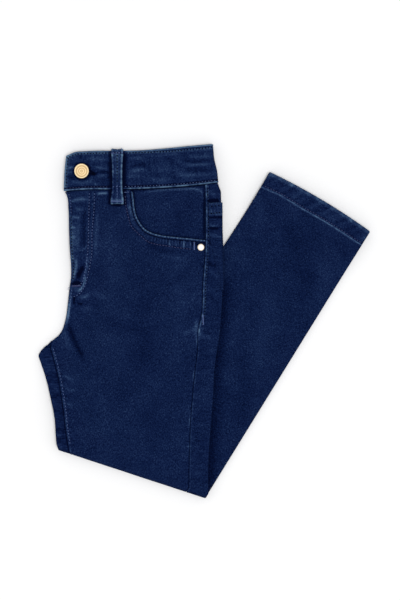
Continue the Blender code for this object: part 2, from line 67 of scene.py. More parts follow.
# Upper block
BASE_ON_FLOOR = HALF_WALL - LAYER_RADII[RIGHT_FRONT]
PRESSED_BY_WEIGHT = 0.9
BASE_ON_LEG = FOLD_AXIS_HEIGHT - PRESSED_BY_WEIGHT
PRESS_REACH = 10.0
RAMP_START = 22.0
RAMP_LENGTH = 68.0
# Each room is (height, y where it starts, length over which it opens).
BACK_POCKET_ROOM = (1.7, -21.0, 44.0)
FACING_ROOM = (1.8, 35.0, 36.0)
FLY_ROOM = (1.8, 30.0, 40.0)
FLY_ROOM_RIGHT = -105.0
FLY_ROOM_WIDTH = 18.0

# Lower leg
LOWER_LEFT_END = np.array((72.6, 166.1))
LOWER_RIGHT_END = np.array((185.4, 99.2))
LOWER_LEFT_BOW = 14.0
HEM_BOW = 3.0
HEM_DEPTH = 16.0
HEM_RISE_END = 20.0
HEM_RISE_LENGTH = 40.0
HEM_RISE = PITCH * np.array((4, 2, 2, 0))
LIP = 4.0
INSEAM_STRIP = (14.1, 9.0)
SIDE_STRIP = (22.7, 12.0)

# Waistband
BAND_WALL = 2.2
BAND_PITCH = 2.6
BAND_HEIGHT = 43.0
OVERLAP = 38.0
OVERLAP_SLOPE = 14.0
UNDERLAP = 35.5
BAND_SHARES = (0.4, 0.55, 0.68, 0.8, 0.9)

# Trims
LOOP_WALL = 1.4
LOOP_WIDTH = 14.0
BELT_LOOP_X = -97.3
BUTTON_RADIUS = 8.5
BUTTON_PLACE = (-137.0, 167.9)
RIVET_RADIUS = 3.9
RIVET_PLACE = (-3.6, 82.6)
RIVET_LIFT = 0.02
STITCH_PITCH = 3.4

# Each outline row is (y, x), from the waist seam down to the knee fold.
LEFT_OUTLINE = (
    (145.2, -155.8), (141.3, -153.9), (125.0, -151.9), (102.0, -151.4), (78.5, -150.4),
    (63.0, -149.2), (48.5, -149.4), (38.5, -150.9), (16.0, -153.4), (5.0, -154.9),
    (-3.1, -156.9), (-9.9, -159.2), (-16.6, -163.6), (-22.7, -172.6), (-27.2, -177.0),
    (-32.9, -182.6), (-38.6, -185.8), (-44.4, -184.0), (-62.5, -177.9), (-85.6, -172.1),
    (-108.4, -167.6), (-129.7, -166.0), (-137.2, -165.4),
)
# The left front's own edge: the fly, the crotch, and then the inseam.
FRONT_EDGE = LEFT_OUTLINE[:13] + (
    (-22.7, -170.9), (-27.2, -172.1), (-42.0, -168.7), (-60.0, -164.1), (-78.5, -160.7),
    (-98.0, -157.8), (-133.5, -153.3), (-146.0, -151.0),
)
SIDE_SEAM = (
    (155.0, 1.0), (99.0, 2.0), (74.5, 1.3), (41.5, -1.1), (7.0, -2.7),
    (-10.0, -6.4), (-32.0, -7.0), (-60.5, -10.5), (-87.5, -12.9), (-111.0, -14.8),
    (-142.5, -16.0), (-195.0, -16.8),
)
RIGHT_OUTLINE = (
    (154.7, 15.1), (137.0, 17.4), (133.0, 18.6), (124.5, 19.0), (97.7, 19.4),
    (84.0, 20.0), (22.5, 20.2), (-16.5, 17.1), (-48.0, 12.3), (-87.0, 10.0),
    (-126.5, 6.8), (-165.5, 4.6), (-193.0, 4.8),
)

# Each waistband row is (x, y).
BAND_TOP = (
    (-154.7, 185.0), (-144.8, 189.2), (-132.4, 190.3), (-104.0, 191.1), (-72.0, 191.5),
    (-48.5, 193.2), (-16.0, 196.4), (10.0, 198.6),
)
BAND_LOW = (
    (-157.4, 145.6), (-132.4, 147.2), (-106.5, 147.5), (-72.0, 148.2), (-34.5, 150.1),
    (0.7, 153.3), (16.0, 155.1),
)
# Each row is (share of the band's height from its top, x).
BAND_LEFT = ((0.0, -154.7), (0.4, -156.4), (1.0, -157.4))
BAND_RIGHT = ((0.0, 10.0), (0.4, 11.6), (0.7, 14.6), (1.0, 16.0))

# Front pocket mouth: each row is (x, y) along its curved edge.
SCOOP = (
    (-80.5, 144.4), (-79.6, 138.8), (-78.4, 126.8), (-75.8, 116.5), (-71.8, 109.4),
    (-66.2, 102.7), (-59.7, 99.0), (-48.6, 95.8), (-34.6, 93.9), (-16.0, 92.1),
    (1.3, 90.2),
)
SCOOP_BLEND_END = 0.25
WAIST_CURVE_END = 0.15
FACING_LEFT = -93.0
FACING_LOW = 74.5

COLUMN_SHARES = (0.055, 0.1, 0.2, 0.3, 0.4, 0.5, 0.6, 0.7, 0.8, 0.9)
CROTCH_OPEN = 0.5966
CROTCH_WRAPPED = 0.6126
FLY_OPENS_FLAT = (0.54, 0.5966)
SEAT_EDGE = (2.8, 0.4)
SEAT_EDGE_START = 7.5
SEAT_EDGE_SHARES = (0.575, 0.5966)
POCKET_TOP_SHARE = 0.097
POCKET_TURN_SHARE = 0.13
POCKET_LOW_SHARE = 0.345
POCKET_FROM_SEAM = 3.0
POCKET_FLUSH = 1.2
POCKET_EDGE_COLUMNS = 5
LAYERED_EDGE = ((1.4, 0.5), (0.5, 0.44), (0.0, 0.32), (0.0, 0.2), (0.4, 0.08), (1.0, 0.02))

# Sewing lines: each row is (x, y).
FLY_OUTER_STITCH = (
    (-122.8, 144.0), (-123.4, 123.4), (-125.4, 102.1), (-126.3, 71.1), (-127.9, 62.2),
    (-130.4, 50.2), (-133.4, 40.1), (-137.4, 33.2), (-142.4, 29.1), (-147.0, 27.0),
)
FLY_INNER_STITCH = (
    (-128.5, 144.0), (-128.9, 123.4), (-129.4, 102.1), (-130.5, 75.0), (-132.5, 60.0),
    (-134.5, 50.0), (-137.5, 42.0), (-142.0, 39.6),
)
SCOOP_OUTER_STITCH = (
    (-88.4, 141.0), (-87.8, 130.3), (-85.2, 118.3), (-81.0, 105.4), (-73.2, 97.7),
    (-62.5, 88.8), (-53.2, 86.0), (-43.9, 84.6), (-30.0, 82.3), (-14.2, 80.4),
)
CROTCH_CREASE = ((-153.6, -0.9), (-148.0, -16.6), (-139.0, -34.5), (-134.5, -44.6))

# Creases and ridges: each row is (path, half width, height, tone shift: lighter for worn ridges,
# darker for shade painted into the hollows).
FRONT_CREASES = (
    (((-151.1, 133.2), (-139.0, 136.9), (-130.0, 136.3)), 1.7, 0.55, 0.28),
    (((-148.5, 116.7), (-143.5, 116.0), (-138.0, 115.2)), 1.6, 0.45, 0.24),
    (((-149.6, 105.0), (-147.0, 105.4), (-143.6, 104.2)), 1.3, 0.4, 0.24),
    (((-149.4, 93.2), (-147.0, 94.4), (-143.8, 93.8)), 1.3, 0.4, 0.2),
    (((-141.0, 78.6), (-136.0, 80.4), (-130.5, 83.4)), 1.4, 0.35, 0.2),
    (((-145.6, 107.0), (-145.0, 90.0), (-145.4, 72.0)), 2.6, 0.3, 0.13),
    (((-121.0, 142.3), (-114.0, 143.2), (-107.0, 143.4)), 1.2, 0.5, 0.4),
    (((-134.0, 62.6), (-138.8, 55.1), (-142.8, 47.0)), 2.3, -1.0, -0.42),
    (((-143.4, 71.0), (-143.2, 61.0), (-146.2, 46.6)), 1.5, 0.6, 0.34),
    (((-148.6, 71.6), (-144.8, 71.0)), 1.2, 0.35, 0.28),
    (((-130.4, 75.0), (-131.6, 62.0), (-134.2, 50.0), (-137.6, 41.6)), 1.0, 0.6, 0.34),
    (((-132.2, 51.0), (-133.8, 43.6), (-137.0, 37.0), (-142.6, 31.4)), 1.1, 0.6, 0.36),
    (((-140.0, 26.6), (-132.3, 27.4), (-128.0, 31.0)), 2.2, 0.45, 0.24),
    (((-145.9, 28.6), (-145.7, 18.1)), 0.9, -0.55, -0.4),
    (((-143.4, 19.8), (-136.0, 19.0)), 1.0, -0.45, -0.3),
    (((-139.0, 12.0), (-131.0, 14.5), (-124.0, 13.0)), 2.6, 0.3, 0.1),
    (((-149.6, 26.0), (-151.0, 19.0), (-152.5, 6.0), (-154.8, -5.0)), 1.7, 0.4, 0.26),
    (((-148.4, 42.1), (-143.0, 42.3), (-138.0, 42.1)), 1.2, -0.6, -1.2),
    (((-147.0, 36.4), (-141.0, 35.4), (-137.6, 38.0)), 2.2, 0.2, 0.16),
    (((-133.0, 130.0), (-134.6, 112.0), (-134.0, 92.0), (-136.0, 78.0)), 2.6, -0.35, -0.12),
    (((-145.0, 127.0), (-138.0, 124.6), (-133.0, 126.0)), 1.8, 0.35, 0.2),
    (((-118.6, 128.0), (-120.0, 110.0), (-121.0, 86.0), (-122.4, 70.0)), 2.0, 0.35, 0.12),
    (((-126.0, 34.0), (-116.0, 28.0), (-108.0, 26.0)), 3.0, 0.3, 0.09),
    (((-146.8, 114.0), (-147.0, 95.0), (-147.8, 75.0), (-148.6, 50.0)), 1.6, 0.3, 0.08),
    (((-140.8, 112.0), (-140.8, 100.0), (-141.2, 88.0), (-142.0, 78.0)), 1.5, 0.4, 0.14),
    # Painted shadow below the belt loop's lower end, laid as a dark crease.
    (((-105.0, 132.2), (-97.4, 131.2), (-89.8, 132.2)), 1.9, -0.3, -0.9),
    (((-9.4, 3.0), (-8.4, -4.0), (-9.6, -12.0)), 2.2, 0.3, 0.16),
    (((-84.0, 134.0), (-82.6, 124.0), (-78.0, 114.0)), 1.6, 0.25, 0.14),
    (((-66.0, 90.0), (-52.0, 80.0), (-30.0, 76.0)), 4.0, -0.3, -0.07),
    (((-52.0, 76.0), (-36.0, 71.0), (-20.0, 70.0)), 2.6, 0.3, 0.08),
    (CROTCH_CREASE, 2.8, -1.0, -0.2),
    (((-157.5, -8.0), (-154.5, -20.0), (-149.5, -33.0)), 3.2, 0.45, 0.1),
    (((-158.0, -58.6), (-151.3, -64.7), (-146.0, -66.0)), 1.4, 0.35, 0.16),
    (((-156.4, -74.4), (-149.4, -77.6), (-143.0, -77.0)), 1.3, 0.3, 0.14),
    (((-154.4, -92.0), (-147.0, -94.6)), 1.4, 0.3, 0.12),
    (((-38.3, 88.4), (-38.0, 82.4)), 0.9, 0.35, 0.3),
    (((-31.0, 88.0), (-30.6, 81.8)), 0.8, 0.3, 0.2),
    (((-23.2, 91.0), (-22.8, 80.6)), 0.8, 0.4, 0.42),
    (((-16.2, 87.4), (-15.8, 80.4)), 0.8, 0.3, 0.3),
    (((-112.0, 120.0), (-104.0, 60.0), (-108.0, -20.0)), 9.0, 0.5, 0.03),
    (((-70.0, 62.0), (-64.0, 0.0), (-70.0, -60.0)), 11.0, -0.45, -0.04),
    (((-30.0, 60.0), (-26.0, 5.0), (-34.0, -40.0)), 8.0, 0.45, 0.04),
    (((-128.0, -60.0), (-112.0, -100.0), (-104.0, -140.0)), 10.0, 0.45, 0.03),
    (((-50.0, -80.0), (-60.0, -120.0), (-55.0, -160.0)), 10.0, -0.4, -0.03),
    (((-118.0, 8.0), (-92.0, -6.0), (-60.0, -10.0)), 6.0, -0.35, -0.05),
    (((-14.0, 64.0), (-22.0, 50.0), (-34.0, 44.0)), 3.4, -0.4, -0.06),
    (((-8.0, 30.0), (-16.0, 22.0), (-28.0, 18.0)), 3.2, 0.35, 0.06),
    (((-10.5, -6.0), (-16.0, -12.0), (-24.0, -14.0)), 2.4, 0.4, 0.14),
)
STRIP_CREASES = (
    (((3.6, 91.0), (10.0, 84.4), (17.0, 83.2)), 1.6, -0.5, -0.2),
    (((4.0, 86.0), (11.0, 80.4), (17.6, 79.6)), 1.6, 0.4, 0.14),
    (((3.0, 68.0), (9.0, 62.4), (17.0, 60.4)), 2.2, -0.4, -0.14),
    (((3.0, 60.0), (9.6, 53.0), (17.6, 50.2)), 2.4, 0.35, 0.08),
    (((1.6, 32.0), (8.0, 25.4), (16.0, 22.0)), 2.4, -0.35, -0.1),
    (((4.4, 146.0), (9.0, 142.0), (14.0, 141.0)), 2.6, 0.4, 0.14),
    (((3.4, 134.0), (10.0, 134.4), (19.0, 134.8)), 1.3, -0.4, -0.8),
    (((-4.0, -14.0), (2.0, -20.0), (10.0, -22.0)), 2.2, 0.35, 0.08),
    (((-178.0, -50.0), (-172.0, -56.0)), 3.0, 0.3, 0.06),
    (((-171.0, -84.0), (-165.0, -88.0)), 2.6, -0.3, -0.08),
)
POCKET_CREASES = (
    (((4.0, 107.8), (10.0, 106.6), (17.0, 107.4)), 1.2, 0.35, 0.2),
    (((4.6, 105.2), (10.0, 103.8), (17.0, 104.4)), 1.2, -0.45, -0.5),
    (((3.6, 98.0), (10.0, 95.4), (18.0, 95.0)), 1.6, 0.3, 0.16),
)
LEG_CREASES = (
    (((60.0, 140.0), (64.0, 120.0), (58.0, 96.0)), 4.0, 0.4, 0.06),
    (((86.0, 116.0), (110.0, 80.0), (120.0, 30.0)), 12.0, -0.5, -0.05),
    (((120.0, 90.0), (136.0, 50.0), (128.0, 10.0)), 11.0, 0.5, 0.04),
    (((60.0, 60.0), (70.0, 10.0), (60.0, -50.0)), 11.0, 0.5, 0.03),
    (((40.0, -20.0), (48.0, -80.0), (36.0, -130.0)), 8.0, -0.4, -0.04),
    (((150.0, 84.0), (160.0, 70.0)), 4.0, -0.35, -0.05),
)
BAND_CREASES = (
    (((-153.0, 171.6), (-149.0, 172.0), (-146.0, 173.4)), 1.1, 0.35, 0.26),
    (((-153.4, 166.4), (-149.0, 166.6), (-146.0, 167.6)), 1.1, 0.3, 0.22),
    (((-152.6, 161.6), (-148.0, 160.6), (-144.0, 158.4)), 1.1, -0.3, -0.2),
    (((-121.0, 154.6), (-120.4, 150.6)), 0.9, 0.35, 0.4),
    (((-124.0, 172.4), (-115.0, 171.4), (-106.0, 169.8)), 1.5, 0.35, 0.2),
    (((-122.0, 161.0), (-116.0, 163.0), (-108.0, 163.6)), 1.6, 0.3, 0.16),
    (((-121.0, 166.0), (-114.0, 167.2), (-107.0, 166.8)), 1.4, -0.3, -0.2),
    (((-86.0, 181.6), (-78.0, 182.8), (-68.0, 183.0)), 1.7, 0.3, 0.14),
    (((-82.0, 167.4), (-75.0, 169.0), (-66.0, 170.4)), 1.7, 0.3, 0.18),
    (((-86.0, 161.6), (-77.0, 162.6), (-68.0, 162.2)), 1.6, 0.3, 0.14),
    (((-84.0, 173.0), (-74.0, 175.4), (-62.0, 176.0)), 1.8, -0.3, -0.14),
    (((-134.0, 183.0), (-122.0, 181.6), (-108.0, 181.4)), 2.0, 0.3, 0.14),
    (((-24.0, 174.6), (-6.0, 175.2), (11.0, 176.0)), 1.5, 0.4, 0.2),
    (((-30.0, 179.6), (-8.0, 179.4), (10.0, 180.6)), 1.5, -0.3, -0.08),
    (((-16.0, 184.4), (-2.0, 184.0), (9.0, 185.0)), 1.4, 0.3, 0.16),
    (((-26.0, 169.6), (-4.0, 168.8), (12.0, 169.8)), 1.4, -0.3, -0.08),
    (((-34.0, 163.0), (-12.0, 163.8), (10.0, 165.0)), 1.6, 0.3, 0.14),
    (((-71.0, 185.0), (-50.0, 185.4), (-28.0, 187.0)), 1.4, 0.25, 0.1),
    (((-127.4, 166.4), (-124.6, 165.4), (-122.4, 164.6)), 1.5, -0.5, -0.9),
    (((-150.0, 156.0), (-136.0, 154.6), (-124.0, 157.0)), 1.8, 0.25, 0.14),
    (((-62.0, 159.4), (-50.0, 158.0), (-38.0, 158.4)), 2.0, 0.25, 0.1),
    (((-54.0, 168.0), (-42.0, 170.0), (-32.0, 169.6)), 2.2, 0.25, 0.08),
)
FACING_CREASES = (
    (((-72.0, 142.6), (-66.2, 145.2), (-43.8, 147.4), (-12.4, 148.6), (-4.6, 146.8),
      (-1.6, 143.0), (-1.2, 134.0)), 1.2, 0.5, 0.3),
    (((-0.2, 150.0), (-0.2, 120.0), (-0.4, 90.0)), 0.9, -0.2, -0.36),
    (((-70.0, 128.0), (-50.0, 124.0), (-30.0, 128.0)), 8.0, 0.3, 0.04),
)


def unit(vector):
    return vector / np.linalg.norm(vector)


FOLD_WAY = unit(FOLD_RIGHT - FOLD_LEFT)
FOLD_OUT = np.array((FOLD_WAY[1], -FOLD_WAY[0]))
LOWER_CHORD = LOWER_LEFT_END - FOLD_LEFT
LOWER_INWARD = unit(np.array((LOWER_CHORD[1], -LOWER_CHORD[0])))
LOWER_RIGHT_LENGTH = np.linalg.norm(LOWER_RIGHT_END - FOLD_RIGHT)


def mix(first, second, share):
    return first + (second - first) * share


def smooth(value):
    value = np.clip(value, 0.0, 1.0)
    return value * value * (3 - 2 * value)


def bump(distance, half_width):
    return np.exp(-((distance / half_width) ** 2))


def curve(table):
    """A smooth function through the rows of a table, from its first column to its second."""
    place, value = np.array(sorted(table), float).T
    slope = np.gradient(value, place)

    def at(where):
        where = np.clip(where, place[0], place[-1])
        index = np.clip(np.searchsorted(place, where) - 1, 0, len(place) - 2)
        step = place[index + 1] - place[index]
        t = (where - place[index]) / step
        start = (1 + 2 * t) * (1 - t) ** 2 * value[index] + t * (1 - t) ** 2 * step * slope[index]
        end = t * t * (3 - 2 * t) * value[index + 1] + t * t * (t - 1) * step * slope[index + 1]
        return start + end

    return at


left_outline = curve(LEFT_OUTLINE)
front_edge = curve(FRONT_EDGE)
side_seam = curve(SIDE_SEAM)
right_outline = curve(RIGHT_OUTLINE)
band_top = curve(BAND_TOP)
band_low = curve(BAND_LOW)
band_left = curve(BAND_LEFT)
band_right = curve(BAND_RIGHT)


def lengths_along(path):
    """How far along a path each of its points lies."""
    return np.r_[0, np.cumsum(np.linalg.norm(np.diff(path, axis=0), axis=1))]


def ways_along(path):
    """The unit way of a path at each of its points."""
    way = np.gradient(path, axis=0)
    return way / np.linalg.norm(way, axis=1)[:, None]


def spline(points, spacing):
    """Points a set distance apart along a smooth curve through the given points."""
    points = np.array(points, float)
    lengths = lengths_along(points)
    fine = np.linspace(0, lengths[-1], max(int(lengths[-1] * 4), 8))
    dense = np.stack([curve(list(zip(lengths, column)))(fine) for column in points.T], 1)
    run = lengths_along(dense)
    count = max(int(round(run[-1] / spacing)), 1)
    return np.stack([np.interp(np.linspace(0, run[-1], count + 1), run, c) for c in dense.T], 1)


def nearest(x, y, path):
    """Distance to a path, how far along it, and a share that fades in at its ends."""
    path = np.array(path, float)
    best = np.full(np.shape(x), 1e9)
    along = np.zeros(np.shape(x))
    run = 0.0
    total = np.linalg.norm(np.diff(path, axis=0), axis=1).sum()
    for (ax, ay), (bx, by) in zip(path, path[1:]):
        length = math.hypot(bx - ax, by - ay)
        share = ((x - ax) * (bx - ax) + (y - ay) * (by - ay)) / length**2
        share = np.clip(share, 0, 1)
        distance = np.hypot(x - mix(ax, bx, share), y - mix(ay, by, share))
        closer = distance < best
        along = np.where(closer, run + share * length, along)
        best = np.where(closer, distance, best)
        run += length
    return best, along, smooth(along / total * 4) * smooth((total - along) / total * 4)


def uneven(run, seed, pitch=5.0):
    """An uneven wave along a seam, between about -1 and 1."""
    waves = ((1.0, 0.5), (0.61, 0.32), (1.73, 0.28), (0.29, 0.25))
    total = 0.0
    for number, (rate, size) in enumerate(waves):
        total = total + size * np.sin(2 * math.pi * run / pitch * rate + seed * (number + 1.7))
    return total


def lumps(x, y, seed, pitch):
    """Soft uneven lumps over an area, between about -1 and 1."""
    generator = np.random.default_rng(seed)
    total = 0.0
    for _ in range(9):
        way, phase = generator.uniform(0, 2 * math.pi, 2)
        rate = generator.uniform(0.5, 1.4) * 2 * math.pi / pitch
        total = total + np.sin((x * math.cos(way) + y * math.sin(way)) * rate + phase)
    return total / 3.6


# How strongly the creases show, as worn lighter cloth on their ridges and as painted shade in their
# hollows.
CREASE_WEAR_AND_SHADE = 1.5


def lay_creases(x, y, creases):
    """Height, and wear with painted shade, that a table of creases adds at places in the plan."""
    height = np.zeros(np.shape(x))
    wear_and_shade = np.zeros(np.shape(x))
    for path, half_width, rise, tone_shift in creases:
        distance, _, fade = nearest(x, y, path)
        shape = bump(distance, half_width) * (0.25 + 0.75 * fade)
        height += rise * shape
        wear_and_shade += CREASE_WEAR_AND_SHADE * tone_shift * shape
    return height, wear_and_shade


def lower_bow(share):
    """How far the lower leg's left edge bows inward, along its length."""
    return LOWER_LEFT_BOW * 4 * share * (1 - share)


def lower_left(share):
    bow = lower_bow(share)[:, None]
    return FOLD_LEFT + LOWER_CHORD * share[:, None] + LOWER_INWARD * bow


def distance_inside_leg(x, y):
    dx, dy = x - FOLD_LEFT[0], y - FOLD_LEFT[1]
    share = dx * LOWER_CHORD[0] + dy * LOWER_CHORD[1]
    share = np.clip(share / float(LOWER_CHORD @ LOWER_CHORD), 0.0, 1.0)
    return dx * LOWER_INWARD[0] + dy * LOWER_INWARD[1] - lower_bow(share)


def stack_base(x, y):
    on_leg = smooth((distance_inside_leg(x, y) + RAMP_START + RAMP_LENGTH) / RAMP_LENGTH)
    from_fold = -((x - FOLD_LEFT[0]) * FOLD_OUT[0] + (y - FOLD_LEFT[1]) * FOLD_OUT[1])
    springing = PRESSED_BY_WEIGHT * np.exp(-np.maximum(from_fold, 0.0) / PRESS_REACH)
    return mix(BASE_ON_FLOOR, BASE_ON_LEG, on_leg) + springing * on_leg


def room_at(room, y):
    height, start, length = room
    return height * smooth((y - start) / length)


FIELDS = ("left", "right", "turn", "share", "waist", "hem", "inset", "beyond", "run")


def row_set(left, right, turn, share, waist=0.0, hem=0.0, inset=0.0, beyond=0.0, run=0.0):
    """Rows of a leg. Every field is an array with one entry a row."""
    count = len(share)
    wide = {"left": left, "right": right}
    values = (turn, share, waist, hem, inset, beyond, run)
    thin = {name: np.broadcast_to(value, count) for name, value in zip(FIELDS[2:], values)}
    return SimpleNamespace(**wide, **thin)


def join(*sets):
    return SimpleNamespace(
        **{name: np.concatenate([getattr(rows, name) for rows in sets]) for name in FIELDS}
    )


UPPER_RUN = 300.0
LOWER_RUN = 385.0


def upper_rows(share):
    left_y = mix(LEFT_OUTLINE[0][0], LEFT_OUTLINE[-1][0], share)
    right_y = mix(RIGHT_OUTLINE[0][0], RIGHT_OUTLINE[-1][0], share)
    left = np.stack((left_outline(left_y), left_y), 1)
    right = np.stack((right_outline(right_y), right_y), 1)
    waist = np.maximum(1 - share / WAIST_CURVE_END, 0.0)
    return row_set(left, right, 0.0, share, waist, run=-UPPER_RUN * share)


def fold_rows():
    turn = math.pi * np.arange(1, FOLD_STEPS + 1) / FOLD_STEPS
    left = FOLD_LEFT + FOLD_WAY * FOLD_CORNER_LEFT * np.sin(turn)[:, None]
    right = FOLD_RIGHT - FOLD_WAY * FOLD_CORNER_RIGHT * np.sin(turn)[:, None]
    run = -UPPER_RUN - turn * LAYER_RADII[LEFT_FRONT]
    return row_set(left, right, turn, np.zeros(FOLD_STEPS), run=run)


def lower_rows(share, inset=0.0, beyond=0.0):
    right = mix(FOLD_RIGHT, LOWER_RIGHT_END, share[:, None])
    to_hem = LOWER_RIGHT_LENGTH * (1 - share)
    hem = smooth((HEM_RISE_END + HEM_RISE_LENGTH - to_hem) / HEM_RISE_LENGTH)
    run = -UPPER_RUN - math.pi * LAYER_RADII[LEFT_FRONT] - LOWER_RUN * share
    return row_set(lower_left(share), right, math.pi, share, 0.0, hem, inset, beyond, run)


def hem_rows():
    """The hem's edge: the cloth turns in and goes back up inside the leg."""
    radius = PITCH / 2
    turn = np.r_[np.radians(np.arange(0, 181, 22.5)), math.pi]
    inset = radius * (1 - np.cos(turn))
    beyond = radius * np.sin(turn)
    beyond[-1] = -HEM_DEPTH
    return lower_rows(np.ones(len(turn)), inset, beyond)


def widths(rows):
    return np.linalg.norm(rows.right - rows.left, axis=1)


def plan_at(rows, across):
    """Places in the plan at distances across the rows, which are a row and column grid."""
    width = widths(rows)[:, None]
    way = (rows.right - rows.left) / width
    share = across / width
    lift = rows.beyond[:, None] + HEM_BOW * 4 * share * (1 - share) * rows.hem[:, None]
    x = rows.left[:, :1] + way[:, :1] * across - way[:, 1:] * lift
    y = rows.left[:, 1:] + way[:, 1:] * across + way[:, :1] * lift
    return x, y + rows.waist[:, None] * (band_low(x) - WAIST_GAP - y)


def radius_at(rows, x, y, layer):
    """A layer's radius from the fold's axis at places in the plan."""
    upper = (rows.turn == 0)[:, None]
    under = (rows.turn == math.pi)[:, None]
    base = stack_base(x, y)
    if layer >= LEFT_BACK:
        base = base + room_at(BACK_POCKET_ROOM, y)
    if layer == LEFT_FRONT:
        over_fly = smooth((FLY_ROOM_RIGHT - x) / FLY_ROOM_WIDTH)
        base = base + room_at(FACING_ROOM, y) + room_at(FLY_ROOM, y) * over_fly
    rise = HEM_RISE[layer] * rows.hem[:, None]
    return LAYER_RADII[layer] + np.where(upper, base, 0.0) - np.where(under, rise, 0.0)


def place(rows, x, y, radius):
    """Points of the cloth in space, turned round the fold."""
    turn = rows.turn[:, None]
    axis = np.where(turn > 0, FOLD_AXIS_HEIGHT, 0.0)
    out = radius * np.sin(turn)
    return np.stack(
        (x + FOLD_OUT[0] * out, y + FOLD_OUT[1] * out, axis + radius * np.cos(turn)), -1
    )


def across_at(rows, line):
    """How far across each row it meets a line that is given as a function of y."""
    way = (rows.right - rows.left) / widths(rows)[:, None]
    y = rows.left[:, 1]
    for _ in range(6):
        across = (line(y) - rows.left[:, 0]) / way[:, 0]
        y = rows.left[:, 1] + way[:, 1] * across
    return across


def inseam_across(rows):
    return np.where(rows.turn == 0, across_at(rows, front_edge), mix(*INSEAM_STRIP, rows.share))


def seam_across(rows):
    strip = widths(rows) - mix(*SIDE_STRIP, rows.share)
    return np.where(rows.turn == 0, across_at(rows, side_seam), strip)


def round_edge(rows, side, outer, inner, steps=12):
    """Points round a folded edge, from the outer layer to the inner one."""
    width = widths(rows)
    edge = width - HALF_WALL if side > 0 else np.full(len(width), HALF_WALL)
    x, y = plan_at(rows, edge[:, None])
    first, last = radius_at(rows, x, y, outer), radius_at(rows, x, y, inner)
    half_drop = abs(first - last) / 2
    angle = math.pi * np.arange(steps + 1) / steps
    reach = half_drop - rows.inset[:, None]
    across = edge[:, None] - side * half_drop + side * reach * np.sin(angle)
    return across, (first + last) / 2 + np.sign(first - last) * reach * np.cos(angle)


def left_edge(rows, outer, inner, steps=12):
    """Points round the left edge, from the inner layer to the outer one."""
    across, radius = round_edge(rows, -1, outer, inner, steps)
    return across[:, ::-1], radius[:, ::-1]


def on_layer(rows, across, layer, outward):
    x, y = plan_at(rows, across)
    return x, y, radius_at(rows, x, y, layer) + outward


def point_numbers(grid):
    """The numbers of a grid's points, in its rows and columns."""
    return np.arange(grid.shape[0] * grid.shape[1]).reshape(grid.shape[:2])


def grid_faces(corner, after):
    """Quads between neighbouring rows, from each corner to the one after it in its row."""
    return np.stack((corner[:-1], after[:-1], after[1:], corner[1:]), -1).reshape(-1, 4).tolist()


def shell(name, grid, wear_and_shade, cloth, finish):
    """A sheet through a grid of points in millimetres, with its wall, its wear and painted shade,
    and its weave.
    """
    corner = point_numbers(grid)
    faces = grid_faces(corner[:, :-1], corner[:, 1:])
    made = add_mesh(name, grid, faces, wear_and_shade, cloth, finish)
    solidify = made.modifiers.new("wall", "SOLIDIFY")
    solidify.thickness = WALL * MM
    solidify.offset = 0.0
    return made


def add_mesh(name, points, faces, wear_and_shade, cloth, finish):
    """A mesh through points in millimetres, with its wear and painted shade, and its place on the
    flat cloth.
    """
    mesh = bpy.data.meshes.new(name)
    mesh.from_pydata((points.reshape(-1, 3) * MM).tolist(), [], faces)
    # The wear_and_shade attribute makes worn cloth lighter, and makes cloth darker where shade is
    # painted in.
    mesh.attributes.new("wear_and_shade", "FLOAT", "POINT").data.foreach_set("value", wear_and_shade.ravel())
    layer = mesh.uv_layers.new(name="cloth")
    corner = np.empty(len(mesh.loops), int)
    mesh.loops.foreach_get("vertex_index", corner)
    layer.data.foreach_set("uv", (cloth.reshape(-1, 2)[corner] * MM).ravel())
    mesh.shade_smooth()
    mesh.materials.append(finish)
    made = bpy.data.objects.new(name, mesh)
    bpy.context.collection.objects.link(made)
    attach(made, "root")
    return made


def loft(name, rings, wear_and_shade, cloth, finish):
    """A closed solid through rings of points, both ends capped with strips of quads."""
    corner = point_numbers(rings)
    size = rings.shape[1]
    faces = grid_faces(corner, np.roll(corner, -1, axis=1))
    for ring, flip in ((corner[0], 1), (corner[-1], -1)):
        for c in range(size // 2):
            ends = [ring[c], ring[c + 1], ring[size - c - 1], ring[(size - c) % size]]
            cap = list(dict.fromkeys(int(end) for end in ends))
            if len(cap) > 2:
                faces.append(cap[::-flip])
    return add_mesh(name, rings, faces, wear_and_shade, cloth, finish)


LEFT_MARGIN = 36.0
RIGHT_MARGIN = 12.0
MIDDLE_LENGTH = 145.0
ROLL_RADIUS = 1.2
ROLL_INSET = 0.4


def scoop_line():
    return spline(SCOOP, 0.5)


def front_top_line():
    """The left front's top edge: the waist seam, and then the pocket mouth."""
    x = np.linspace(FRONT_EDGE[0][1] + SEAM_GAP / 2, SCOOP[0][0], 60)
    waist = np.stack((x, band_low(x) - WAIST_GAP), 1)
    return np.concatenate((waist[:-1], scoop_line()))


def front_columns():
    """The left front's columns: millimetres from the fly edge, and share of the middle."""
    left = np.r_[2.2, 2.8, 3.4, 4.2, 5.2, 6.4, 8.0:20.0:1.4, 20.0:36.0:0.7]
    middle = np.r_[36.0:60.0:2.2, 60.0:168.0:1.1, 168.0:181.0:2.0] - LEFT_MARGIN
    right = RIGHT_MARGIN - np.array((12, 10, 8.2, 6.6, 5.2, 4.2, 3.4, 2.8, 2.2, 1.7, 1.2, 0.8,
                                     0.4, 0.12, 0))
    offset = np.r_[left, np.full(len(middle), LEFT_MARGIN), LEFT_MARGIN + right]
    share = np.r_[np.zeros(len(left)), middle / MIDDLE_LENGTH, np.ones(len(right))]
    return offset, share


